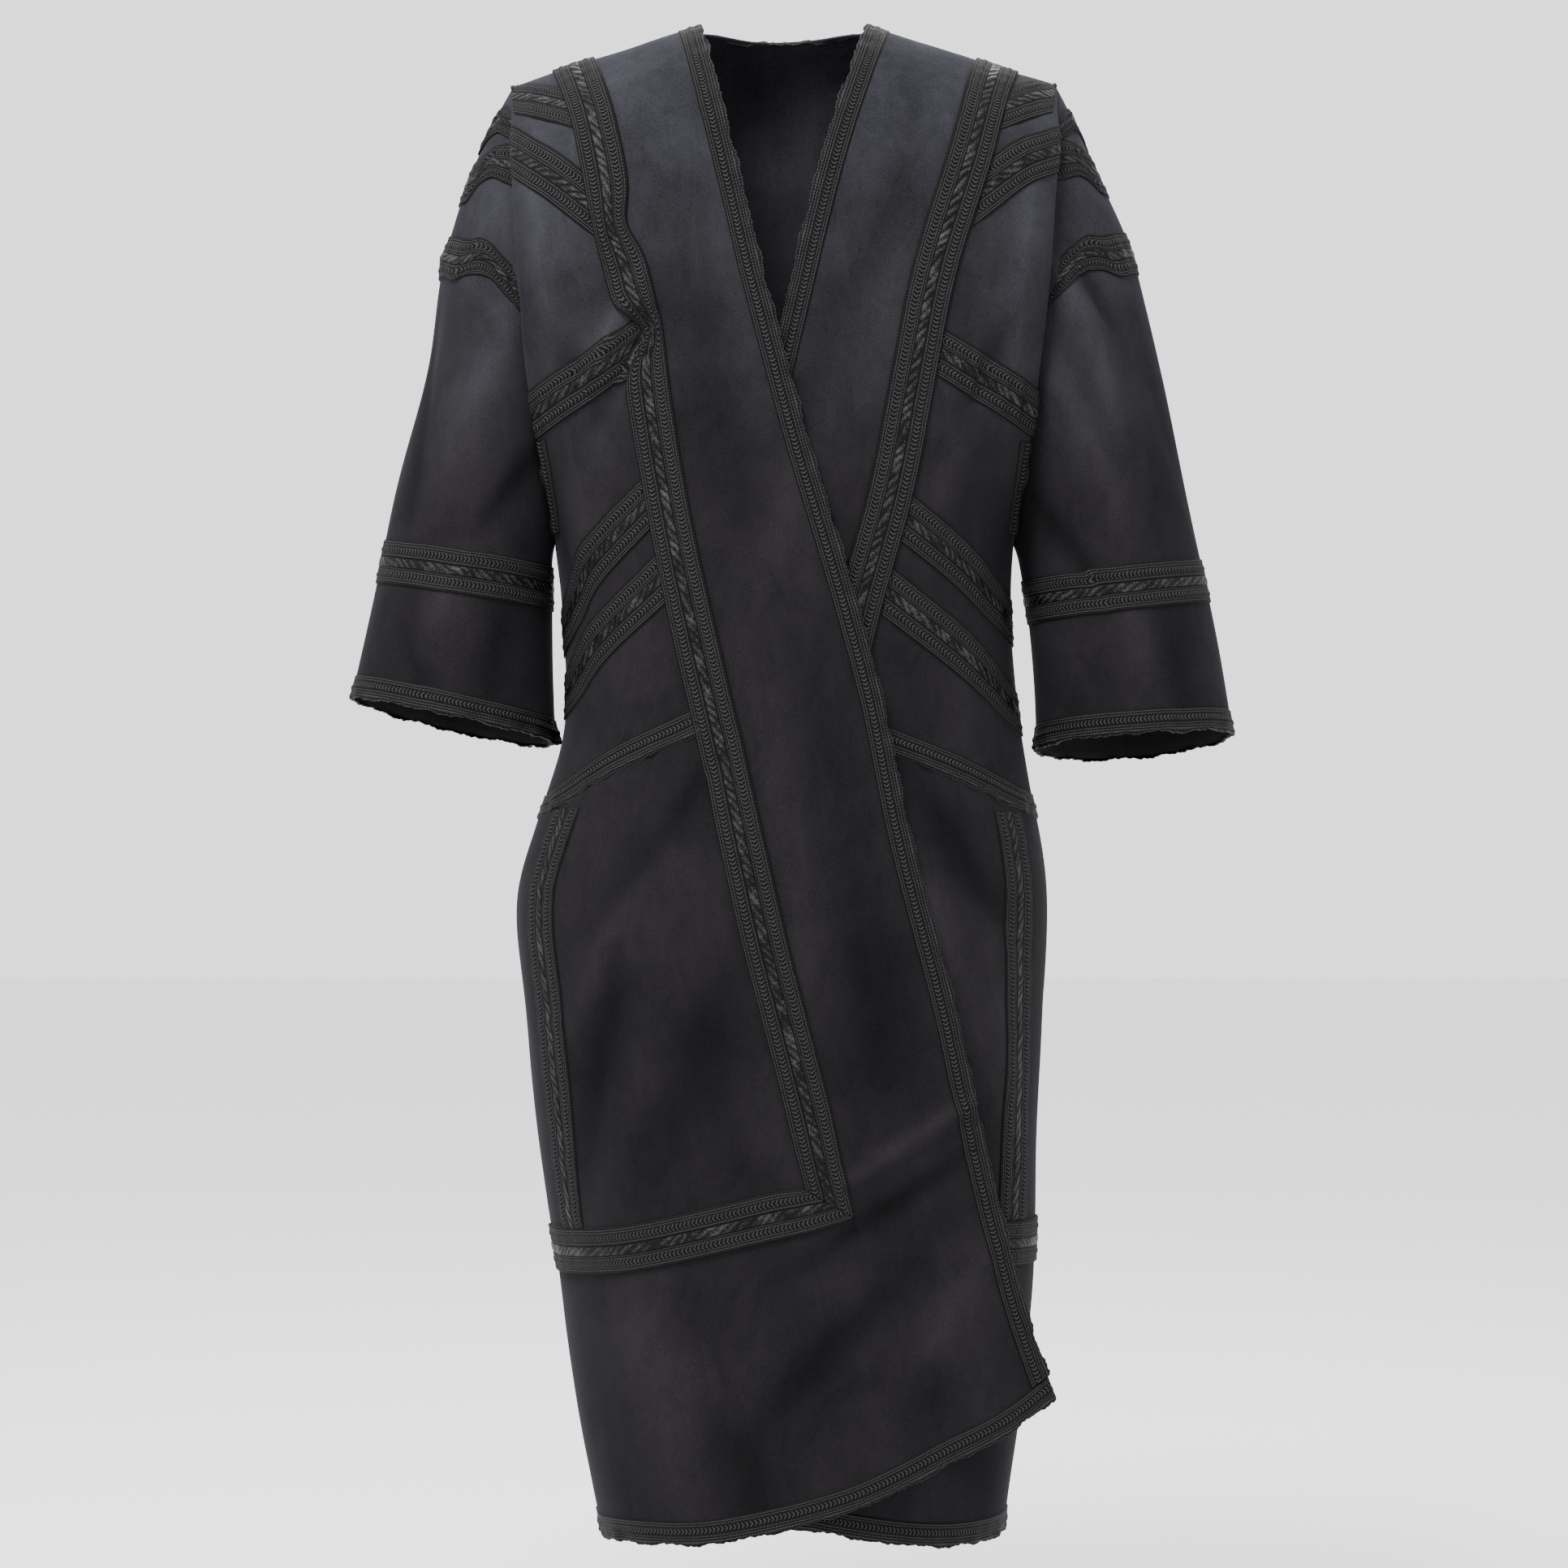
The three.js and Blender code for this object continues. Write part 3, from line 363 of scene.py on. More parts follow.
def cloth_piece(name, axis, creases, seed):
    """A thin cloth on its solid's form, smoothed, with its creases placed."""
    skin = outer_skin(name, Vector(axis), tube=name.startswith("sleeve"))
    mesh = bpy.data.meshes.new(name + "_cloth")
    skin.to_mesh(mesh)
    skin.free()
    piece = bpy.data.objects.new(name + "_cloth", mesh)
    bpy.context.scene.collection.objects.link(piece)
    smooth = piece.modifiers.new("smooth", "SUBSURF")
    smooth.levels = smooth.render_levels = 3
    smooth.boundary_smooth = "PRESERVE_CORNERS"
    settled = bpy.data.meshes.new_from_object(piece.evaluated_get(bpy.context.evaluated_depsgraph_get()))
    piece.modifiers.clear()
    piece.data = settled
    settled.name = name + "_cloth"

    count = len(settled.vertices)
    points = np.empty(count * 3)
    normals = np.empty(count * 3)
    settled.vertices.foreach_get("co", points)
    settled.vertices.foreach_get("normal", normals)
    points = points.reshape(-1, 3)
    normals = normals.reshape(-1, 3)
    moved = crease_depth(points, normals, creases) + ripple(points, seed)
    points = points + normals * moved[:, None]
    settled.vertices.foreach_set("co", points.ravel())
    # The fold heights are kept for the suede's painted shade and highlight
    settled.attributes.new("fold", "FLOAT", "POINT").data.foreach_set("value", moved / FOLD_SHADE)
    settled.shade_smooth()
    settled.materials.append(suede_face)
    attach(piece, "root")
    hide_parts(name)
    return piece


# Creases: face, place across and down, lean, half length, half width and height, in millimetres
front_right_creases = [
    ("front", -150, 290, -0.5, 42, 12, 6.5),
    ("front", -134, 312, -0.55, 36, 9, -5.9),
    ("front", -176, 330, 0.6, 60, 16, -4.5),
    ("front", -168, 425, -0.2, 75, 20, 4.9),
    ("front", -196, 455, 0.3, 60, 13, -4.5),
    ("front", -208, 240, 0.1, 130, 13, 4.5),
    ("front", -60, 300, 0.15, 130, 28, -3.4),
    ("front", -10, 480, -0.3, 90, 22, 3.4),
    ("front", -108, 725, -0.7, 70, 18, -6.5),
    ("front", -140, 790, -0.45, 120, 22, 5.5),
    ("front", -156, 900, -0.15, 110, 16, -5.9),
    ("front", -82, 930, -0.4, 110, 34, -4.9),
    ("front", 10, 780, 0.1, 100, 22, 4.2),
    ("front", 76, 850, 0.2, 90, 34, -5.2),
    ("front", 118, 975, -1.6, 45, 13, 6.5),
    ("front", 88, 1040, -1.5, 50, 17, -5.2),
    ("front", -110, 1180, 0.2, 110, 28, 4.9),
    ("front", 40, 1160, -0.9, 80, 24, -5.2),
    ("front", 150, 1120, -0.6, 70, 20, 5.2),
    ("front", -30, 1280, 0.1, 60, 24, -3.9),
]
front_left_creases = [
    ("front", 172, 325, -0.5, 60, 14, -5.2),
    ("front", 150, 385, -0.3, 60, 18, 4.9),
    ("front", 205, 440, -0.3, 60, 13, -4.5),
    ("front", 208, 230, -0.1, 120, 13, 4.5),
    ("front", 90, 180, -0.3, 90, 22, -3.4),
    ("front", 160, 745, 0.6, 70, 18, -5.9),
    ("front", 130, 800, 0.4, 90, 18, 4.7),
    ("front", 190, 930, 0.1, 130, 18, 5.2),
    ("front", 150, 1200, 0.3, 90, 22, -4.7),
]
back_creases = [
    ("back", -150, 240, 0.35, 100, 20, 5.9),
    ("back", 158, 260, -0.3, 110, 20, 5.9),
    ("back", -60, 420, 0.1, 150, 24, -5.2),
    ("back", 70, 520, -0.15, 130, 24, 5.2),
    ("back", -130, 640, -0.5, 70, 18, -5.9),
    ("back", 140, 650, 0.5, 70, 18, -5.9),
    ("back", 30, 760, 0.05, 180, 26, 5.2),
    ("back", -120, 1000, -0.1, 170, 26, 5.9),
    ("back", 110, 1090, 0.12, 150, 24, 5.9),
    ("back", -30, 1180, 0.06, 120, 24, -5.2),
]
sleeve_right_creases = [
    ("front", -296, 215, 0.9, 34, 12, 5.2),
    ("front", -318, 330, -0.1, 110, 10, -5.2),
    ("front", -262, 330, -0.4, 90, 17, 6.0),
    ("front", -240, 420, -0.75, 60, 15, -5.7),
    ("front", -290, 500, -0.45, 70, 18, 4.7),
    ("front", -250, 560, -0.2, 50, 16, -3.9),
    ("front", -320, 575, 0.2, 50, 18, -3.6),
    ("back", -290, 300, -0.3, 100, 16, 6.0),
    ("back", -262, 440, -0.6, 70, 15, -5.5),
    ("back", -320, 520, -0.2, 70, 18, 4.9),
]
sleeve_left_creases = [
    ("front", 251, 250, 0.45, 34, 15, 7.3),
    ("front", 273, 246, 0.5, 32, 9, -5.7),
    ("front", 282, 322, 0.2, 52, 9, 4.4),
    ("front", 335, 350, 0.3, 90, 14, -4.9),
    ("front", 270, 390, 0.5, 80, 17, 6.2),
    ("front", 250, 470, 0.7, 50, 14, -5.5),
    ("front", 310, 545, 0.35, 60, 18, 4.7),
    ("front", 350, 590, 0.2, 50, 18, -3.6),
    ("back", 300, 310, 0.35, 100, 16, 6.0),
    ("back", 266, 450, 0.6, 70, 15, -5.5),
    ("back", 340, 540, 0.25, 70, 18, 4.9),
]

cloths = {
    "front_right": cloth_piece("front_right", BODY_MIDDLE, front_right_creases, seed=3),
    "front_left": cloth_piece("front_left", BODY_MIDDLE, front_left_creases, seed=5),
    "back": cloth_piece("back", BODY_MIDDLE, back_creases, seed=7),
    "sleeve_right": cloth_piece("sleeve_right", SLEEVE_RIGHT_MIDDLE, sleeve_right_creases, seed=11),
    "sleeve_left": cloth_piece("sleeve_left", SLEEVE_LEFT_MIDDLE, sleeve_left_creases, seed=13),
}
for side in ("right", "left"):
    sew(cloths[f"front_{side}"], [cloths["back"]], SIDE_SEAM_REACH)
for side in ("right", "left"):
    sew(cloths[f"sleeve_{side}"], [cloths[f"front_{side}"], cloths["back"]], ARMHOLE_REACH)
for piece in cloths.values():
    wall = piece.modifiers.new("wall", "SOLIDIFY")
    wall.thickness = CLOTH_THICKNESS
    wall.offset = -1


# Wide braid
#
# A woven tape 40 mm wide, machine made and sewn flat on the cloth by both edges. Between ribbed and
# plaited rows it carries a gathered satin ribbon, whose slanting folds catch the light and carry painted
# highlights on their crests.

WIDE = 40 * MM
EDGE_GROOVE = 19.2 * MM
RIBBON_GROOVE = 4.3 * MM
RIBBON_HALF = 3.7 * MM
GROOVE_HALF = 0.5 * MM
PLAIT_MIDDLE = 10.9 * MM
PLAIT_HALF = 2.5 * MM
PLAIT_PITCH = 3.7 * MM
CHEVRON_REACH = 2.1 * PLAIT_HALF
RUCHE_PITCH = 10.5 * MM
RUCHE_SLANT = 6.5 * MM
RUCHE_HALF = 4.0 * MM
RUCHE_DEPTH = 0.18
RUCHE_SINK = 0.15
RUMPLE = 15 * MM
TAPE_RELIEF = 0.4 * MM

# The real ribs, stitches and threads are finer. They are drawn as coarse as the picture needs.
RIB_PITCH = 2.3 * MM
STITCH_PITCH = 2.7 * MM
THREAD = 1.4 * MM

# Heights in the yarn's pattern, which set its bump and also how pale it is: painted highlight where it is
# high and painted shade where it is low
RIB_HEIGHT = 1.7
STITCH_HEIGHT = 0.6
PLAIT_HEIGHT = 3.0
GROOVE_HEIGHT = -2.6
THREAD_HEIGHT = 2.4
RUCHE_HEIGHT = 0.75
RUMPLE_HEIGHT = -6.0
RUMPLE_MIDDLE = 2.1
RIBBON_THREADS = 2.6

# Waves along a tape, as height, pitch in millimetres and shift
RUCHE_DRIFT = [(1.7, 71, 0), (0.9, 37, 1.3)]
RUCHE_SWELL = [(0.16, 53, 0.7)]


def wave(tree, place, pitch, shift=0.0, swing=1.0):
    """A sine wave along a socket's value, with a pitch in metres, a shift in radians and a swing."""
    turns = node(tree, "ShaderNodeMath", {
        0: place, 1: 2 * math.pi / pitch, 2: shift,
    }, operation="MULTIPLY_ADD")
    sine = node(tree, "ShaderNodeMath", {0: turns.outputs[0]}, operation="SINE")
    return node(tree, "ShaderNodeMath", {0: sine.outputs[0], 1: swing}, operation="MULTIPLY").outputs[0]


def distance(tree, across, middle):
    """How far a place across the tape is from a middle line."""
    off = node(tree, "ShaderNodeMath", {0: across, 1: middle}, operation="SUBTRACT")
    return node(tree, "ShaderNodeMath", {0: off.outputs[0]}, operation="ABSOLUTE").outputs[0]


def zone(tree, across, middle, half):
    """1 within a stretch of the tape's width and 0 outside it, with an edge half a millimetre soft."""
    return node(tree, "ShaderNodeMapRange", {
        "Value": distance(tree, across, middle), "From Min": half - 0.2 * MM, "From Max": half + 0.3 * MM,
        "To Min": 1.0, "To Max": 0.0,
    }).outputs[0]


def yarn_heights(tree, along, across, uneven, plaits, grooves):
    """The woven face: fine ribs, plaited rows with chevrons, and grooves between the rows."""
    ribs = wave(tree, across, RIB_PITCH, swing=RIB_HEIGHT)
    stitches = wave(tree, along, STITCH_PITCH, swing=STITCH_HEIGHT)
    woven = node(tree, "ShaderNodeMath", {0: ribs, 1: stitches}, operation="ADD").outputs[0]
    height = node(tree, "ShaderNodeMath", {0: woven, 1: uneven}, operation="ADD").outputs[0]
    for middle in plaits:
        lean = node(tree, "ShaderNodeMath", {
            0: distance(tree, across, middle), 1: -2 * math.pi / CHEVRON_REACH,
        }, operation="MULTIPLY").outputs[0]
        chevron = wave(tree, along, PLAIT_PITCH, lean, swing=PLAIT_HEIGHT)
        plaited = node(tree, "ShaderNodeMath", {0: chevron, 1: uneven}, operation="ADD").outputs[0]
        row = zone(tree, across, middle, PLAIT_HALF)
        height = node(tree, "ShaderNodeMix", {0: row, 2: height, 3: plaited}).outputs[0]
    for middle in grooves:
        sunk = zone(tree, across, middle, GROOVE_HALF)
        height = node(tree, "ShaderNodeMix", {0: sunk, 2: height, 3: GROOVE_HEIGHT}).outputs[0]
    return height


def ribbon_heights(tree, along, across, uneven, place):
    """The gathered ribbon's slanting folds, for its bump, and the same folds rumpled and broken up, for its
    painted highlight and shade.
    """
    drifts = [wave(tree, along, pitch * MM, shift, swing) for swing, pitch, shift in RUCHE_DRIFT]
    drift = node(tree, "ShaderNodeMath", {0: drifts[0], 1: drifts[1]}, operation="ADD")
    slant = node(tree, "ShaderNodeMath", {
        0: across, 1: 2 * math.pi / RUCHE_SLANT, 2: drift.outputs[0],
    }, operation="MULTIPLY_ADD")
    folds = wave(tree, along, RUCHE_PITCH, slant.outputs[0], swing=RUCHE_HEIGHT)
    rumples = node(tree, "ShaderNodeTexNoise", {"Vector": place, "Scale": 1 / RUMPLE, "Detail": 2})
    drop = node(tree, "ShaderNodeMath", {
        0: rumples.outputs["Fac"], 1: RUMPLE_HEIGHT, 2: RUMPLE_MIDDLE,
    }, operation="MULTIPLY_ADD").outputs[0]
    broken = node(tree, "ShaderNodeMath", {0: folds, 1: drop}, operation="ADD").outputs[0]
    rumpled = node(tree, "ShaderNodeMath", {
        0: uneven, 1: RIBBON_THREADS, 2: broken,
    }, operation="MULTIPLY_ADD").outputs[0]
    return folds, rumpled


def braid_material(name, plaits, grooves, ribbon):
    """Woven tape of matt yarn, almost black. Its colour follows the heights of its weave, with painted
    highlight on the raised yarn and painted shade in the grooves between its rows. Its satin ribbon,
    where it has one, is smoother, with painted highlight on the crests of its folds and painted shade
    between them."""
    material = bpy.data.materials.new(name)
    material.use_nodes = True
    tree = material.node_tree
    surface = tree.nodes["Principled BSDF"]
    uv = node(tree, "ShaderNodeSeparateXYZ", {0: node(tree, "ShaderNodeUVMap", uv_map="tape").outputs[0]})
    along, across = uv.outputs[0], uv.outputs[1]
    place = node(tree, "ShaderNodeTexCoord").outputs["Object"]
    threads = node(tree, "ShaderNodeTexNoise", {"Vector": place, "Scale": 1 / THREAD, "Detail": 1})
    uneven = node(tree, "ShaderNodeMath", {
        0: threads.outputs["Fac"], 1: THREAD_HEIGHT, 2: -THREAD_HEIGHT / 2,
    }, operation="MULTIPLY_ADD").outputs[0]
    height = yarn_heights(tree, along, across, uneven, plaits, grooves)
    # Painted shade and highlight: the yarn's relief heights set its colour, dark in the grooves and pale on
    # the raised yarn
    relief_shading = node(tree, "ShaderNodeMapRange", {"Value": height, "From Min": -1.6, "From Max": 2.9})
    colour = node(tree, "ShaderNodeMix", {
        0: relief_shading.outputs[0], 6: linear("#040404"), 7: linear("#302e2f"),
    }, data_type="RGBA").outputs[2]
    if ribbon:
        folds, rumpled = ribbon_heights(tree, along, across, uneven, place)
        # Painted highlight on the ribbon's rumpled fold crests and painted shade between them
        relief_shading = node(tree, "ShaderNodeMapRange", {"Value": rumpled, "From Min": -1.2, "From Max": 1.6})
        satin = node(tree, "ShaderNodeMix", {
            0: relief_shading.outputs[0], 6: linear("#040404"), 7: linear("#302f31"),
        }, data_type="RGBA").outputs[2]
        strip = zone(tree, across, 0.0, RIBBON_HALF)
        colour = node(tree, "ShaderNodeMix", {0: strip, 6: colour, 7: satin}, data_type="RGBA").outputs[2]
        height = node(tree, "ShaderNodeMix", {0: strip, 2: height, 3: folds}).outputs[0]
        rough = node(tree, "ShaderNodeMapRange", {"Value": strip, "To Min": 0.75, "To Max": 0.5})
        tree.links.new(rough.outputs[0], surface.inputs["Roughness"])
    else:
        surface.inputs["Roughness"].default_value = 0.7
    bump = node(tree, "ShaderNodeBump", {"Strength": 1.0, "Distance": TAPE_RELIEF, "Height": height})
    tree.links.new(colour, surface.inputs["Base Color"])
    tree.links.new(bump.outputs[0], surface.inputs["Normal"])
    surface.inputs["Specular IOR Level"].default_value = 0.08
    return material


wide_tape = braid_material(
    "wide_tape", plaits=[-PLAIT_MIDDLE, PLAIT_MIDDLE],
    grooves=[-EDGE_GROOVE, -RIBBON_GROOVE, RIBBON_GROOVE, EDGE_GROOVE], ribbon=True,
)


def strip_sides(name, crosswise=False):
    """The two long sides of a strip's outer face, as an array of pairs of corner points, and whether
    the strip is a ring. crosswise takes the two short sides of a strip that is wider than long."""
    strip = bmesh.new()
    strip.from_mesh(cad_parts[name].data)
    bmesh.ops.remove_doubles(strip, verts=strip.verts, dist=SAME_PLACE)
    groups = patches(strip.faces, RIM_ANGLE)
    outer = set(max(groups, key=lambda group: sum(face.calc_area() for face in group)))
    follow = {}
    for face in (f for f in strip.faces if f in outer):
        for loop in face.loops:
            if not any(f in outer and f is not face for f in loop.edge.link_faces):
                follow[loop.vert] = loop.link_loop_next.vert
    chains = []
    while follow:
        first = next(iter(follow))
        chain = [first]
        while chain[-1] in follow:
            chain.append(follow.pop(chain[-1]))
        chains.append(chain[:-1])
    corners = {v for chain in chains for v in chain if sum(f in outer for f in v.link_faces) <= 2}
    if len(chains) == 2 and not corners:
        one, other = chains
        other = other[::-1]
        start = min(range(len(other)), key=lambda i: (other[i].co - one[0].co).length)
        other = other[start:] + other[:start]
        pairs = [(a.co[:], b.co[:]) for a, b in zip(one, other)]
        strip.free()
        return np.array(pairs), True
    loop = chains[0]
    start = next(i for i, v in enumerate(loop) if v in corners)
    loop = loop[start:] + loop[:start] + [loop[start]]
    sides, side = [], [loop[0]]
    for vert in loop[1:]:
        side.append(vert)
        if vert in corners:
            sides.append(side)
            side = [vert]
    lengths = [sum((a.co - b.co).length for a, b in zip(s, s[1:])) for s in sides]
    pick = 0 if (lengths[0] + lengths[2] > lengths[1] + lengths[3]) != crosswise else 1
    one, other = sides[pick], sides[pick + 2][::-1]
    pairs = [(a.co[:], b.co[:]) for a, b in zip(one, other)]
    strip.free()
    return np.array(pairs), False


def dense_rows(sides, step, ring, extend=(0, 0)):
    """Smooth, even rows through a strip's corner points, with how far along each one lies."""
    if ring:
        sides = np.concatenate([sides[-2:], sides, sides[:3]])
    middle = sides.mean(axis=1)
    at = np.concatenate([[0], np.cumsum(np.linalg.norm(np.diff(middle, axis=0), axis=1))])
    slopes = np.gradient(sides, at, axis=0)
    low, high = (at[2], at[-3]) if ring else (-extend[0], at[-1] + extend[1])
    count = max(int(round((high - low) / step)), 3)
    wanted = np.linspace(low, high, count + 1)
    i = np.clip(np.searchsorted(at, wanted) - 1, 0, len(at) - 2)
    span = at[i + 1] - at[i]
    t = np.clip((wanted - at[i]) / span, 0, 1)[:, None, None]
    span = span[:, None, None]
    rows = (
        (2 * t ** 3 - 3 * t ** 2 + 1) * sides[i] + (t ** 3 - 2 * t ** 2 + t) * span * slopes[i]
        + (3 * t ** 2 - 2 * t ** 3) * sides[i + 1] + (t ** 3 - t ** 2) * span * slopes[i + 1]
    )
    before = np.minimum(wanted - at[0], 0)[:, None, None]
    beyond = np.maximum(wanted - at[-1], 0)[:, None, None]
    rows = rows + slopes[0] * before + slopes[-1] * beyond
    return rows, wanted - low


skins = {}


def skin_of(piece):
    """A search tree over a cloth's outer face, and over its edge points."""
    if piece.name not in skins:
        mesh = piece.data
        points = [v.co for v in mesh.vertices]
        tree = BVHTree.FromPolygons(points, [p.vertices[:] for p in mesh.polygons])
        skins[piece.name] = (tree, search_tree([points[i] for edge in open_edges(mesh) for i in edge]))
    return skins[piece.name]


PRESSED_SHARE = 0.35
RING_CLOSED = 0.01 * MM


def tape_mesh(name, points, flat, ring):
    """A mesh through rows of points, with the place of each on the flat tape as its UV map."""
    count_along, count_across = points.shape[:2]
    grid = bmesh.new()
    bmesh.ops.create_grid(grid, x_segments=count_along - 1, y_segments=count_across - 1, size=1)
    order = []
    for vert in grid.verts:
        i = round((vert.co.x + 1) / 2 * (count_along - 1))
        j = round((vert.co.y + 1) / 2 * (count_across - 1))
        order.append((i, j))
        vert.co = points[i, j]
    mesh = bpy.data.meshes.new(name)
    grid.to_mesh(mesh)
    grid.free()
    row, column = np.array(order).T
    corner_verts = np.empty(len(mesh.loops), dtype=np.int64)
    mesh.loops.foreach_get("vertex_index", corner_verts)
    mesh.uv_layers.new(name="tape").data.foreach_set("uv", flat[row, column][corner_verts].ravel())
    if ring:
        closed = bmesh.new()
        closed.from_mesh(mesh)
        bmesh.ops.remove_doubles(closed, verts=closed.verts, dist=RING_CLOSED)
        closed.to_mesh(mesh)
        closed.free()
    return mesh


def lay_tape(
    name, cloth, profile, width, material, ring, rows, along, height_at, edge_at=None, pressed=(0, 0),
    lean=1,
):
    """A tape over rows of the cloth. Profile gives places across, in metres from the first side, and
    the height of the tape there. height_at adds to the height, edge_at moves the first side out,
    pressed gives the lengths at its ends that lie flat under another tape, and lean turns the
    ribbon's folds."""
    tree, _ = skin_of(cloths[cloth])
    across = np.array([p[0] for p in profile])
    share = across / width
    inside = np.clip(share, 0, 1)
    span = rows[:, 1] - rows[:, 0]
    across_way = span / np.linalg.norm(span, axis=1)[:, None]
    base = rows[:, None, 0] + span[:, None] * inside[None, :, None]
    found = np.empty_like(base)
    normals = np.empty_like(base)
    for i in range(base.shape[0]):
        for j in range(base.shape[1]):
            place, normal, _, _ = tree.find_nearest(Vector(base[i, j]))
            found[i, j] = place
            normals[i, j] = normal
    for _ in range(3):
        before, after = (normals[-2:-1], normals[1:2]) if ring else (normals[:1], normals[-1:])
        padded = np.concatenate([before, normals, after])
        normals = padded[:-2] + padded[1:-1] * 2 + padded[2:]
        normals /= np.linalg.norm(normals, axis=2)[:, :, None]
    middle = rows.mean(axis=1)
    tangent = np.gradient(middle, axis=0)
    tangent /= np.linalg.norm(tangent, axis=1)[:, None]
    slant = np.einsum("ijk,ik->ij", base - middle[:, None], tangent)
    length = along[:, None] + slant
    height = np.repeat(np.array([p[1] for p in profile])[None, :], len(along), axis=0)
    height = height + height_at(length, across[None, :])
    for from_end, reach in ((along, pressed[0]), (along[-1] - along, pressed[1])):
        if reach:
            share_left = PRESSED_SHARE + (1 - PRESSED_SHARE) * (from_end / reach - 0.5) * 2
            height = height * np.clip(share_left, PRESSED_SHARE, 1)[:, None]
    out = np.repeat(((share - inside) * width)[None, :], len(along), axis=0)
    if edge_at is not None:
        out = out - edge_at(along)[:, None] * (share[None, :] <= 0)
    points = found + normals * height[:, :, None] + across_way[:, None, :] * out[:, :, None]
    flat = np.stack([length, np.broadcast_to((across - width / 2) * lean, length.shape)], axis=2)
    mesh = tape_mesh(name, points, flat, ring)
    middle = mesh.polygons[len(mesh.polygons) // 2]
    nearest = tree.find_nearest(middle.center)
    if middle.normal.dot(nearest[1]) < 0:
        mesh.flip_normals()
    mesh.shade_smooth()
    mesh.materials.append(material)
    piece = bpy.data.objects.new(name, mesh)
    bpy.context.scene.collection.objects.link(piece)
    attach(piece, "root")
    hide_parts(name.removesuffix("_tape"))
    return piece


WIDE_STEP = 2.4 * MM

# Half of the wide tape's section, in millimetres from its edge to its middle: place and height
WIDE_SECTION = [
    (0, 0.1), (0.5, 1.0), (1.2, 1.4), (3, 1.3), (5, 1.2), (6.2, 1.3), (7, 1.7), (8, 2.0), (9, 2.0),
    (10, 1.7), (11, 1.3), (12.2, 1.3), (13.5, 1.4), (15, 1.2), (15.6, 1.1), (16.6, 1.5), (18, 1.7),
    (19.3, 1.8), (20, 1.8),
]


def wide_profile(under):
    """Places across and heights of the wide tape, lying over what is sewn under it, with both edges
    down on the cloth."""
    half = [(a * MM, h * MM + (under if a else 0)) for a, h in WIDE_SECTION]
    far = [(WIDE - a, h) for a, h in half[:-1]]
    return half + far[::-1]


def waves(along, table):
    """The sum of sine waves along a tape, from a table of height, pitch in millimetres and shift."""
    return sum(height * np.sin(2 * math.pi * along / (pitch * MM) + shift) for height, pitch, shift in table)


def ruching(along, off):
    """The gathered ribbon's slanting folds, uneven along the tape, in its middle 8 mm."""
    ribbon = np.clip(1.2 - np.abs(off / RUCHE_HALF) ** 2.4, 0, 1)
    folds = np.sin(2 * math.pi * (along / RUCHE_PITCH + off / RUCHE_SLANT) + waves(along, RUCHE_DRIFT))
    depth = RUCHE_DEPTH + waves(along, RUCHE_SWELL)
    return (depth * folds - RUCHE_SINK) * ribbon * MM


def fold_lean(rows, upward):
    """1 or -1, so that the ribbon's folds rise towards +X where upward is 1, and fall where it is -1."""
    half = len(rows) // 2
    tangent = (rows[half] - rows[0]).mean(axis=0)
    tangent /= np.linalg.norm(tangent)
    across = rows[half, 1] - rows[half, 0]
    across /= np.linalg.norm(across)
    leans = [tangent * RUCHE_PITCH - across * RUCHE_SLANT * lean for lean in (1, -1)]
    rises = [fold[0] * fold[2] * upward / (fold @ fold) for fold in leans]
    return 1 if rises[0] > rises[1] else -1


BUCKLE_PITCHES = (19, 27, 44)
BUCKLE_LOWEST = -0.4 * MM


def buckles(along, size, seed):
    """Uneven waves along a tape that is a little too long for its cloth."""
    draw = np.random.default_rng(seed)
    total = np.zeros(len(along))
    for pitch in BUCKLE_PITCHES:
        total += np.sin(2 * math.pi * along / (pitch * MM) * draw.uniform(0.85, 1.15) + draw.uniform(0, 6))
    return size * total / 1.7


# The twist in the right front's line: how much, at what height on the robe and over what reach, in
# millimetres. The first two are shares of the tape's width.
DRAWN_IN = (0.55, -285, 19)
TUCKED_IN = (0.22, -193, 22)
BULGE = (4.5 * MM, -258, 22)
OVERHANG = (2 * MM, -186, 26)


def swelling(heights, amount, middle, reach):
    """An amount that fades away smoothly above and below a middle height."""
    return amount * np.exp(-(((heights - middle * MM) / (reach * MM)) ** 2))


def pinch(rows):
    """The right front's line is twisted above the chest band: its outer side is drawn in over it, and
    the stretch above bulges and hangs over."""
    height = rows.mean(axis=1)[:, 2]
    outer = 0 if rows[0, 0, 0] < rows[0, 1, 0] else 1
    across = rows[:, 1 - outer] - rows[:, outer]
    sides = [None, None]
    sides[outer] = rows[:, outer] + across * swelling(height, *DRAWN_IN)[:, None]
    sides[1 - outer] = rows[:, 1 - outer] - across * swelling(height, *TUCKED_IN)[:, None]
    return np.stack(sides, axis=1), swelling(height, *BULGE) + swelling(height, *OVERHANG)


OVER_OTHERS = 1.1 * MM
ON_CLOTH = 0.1 * MM


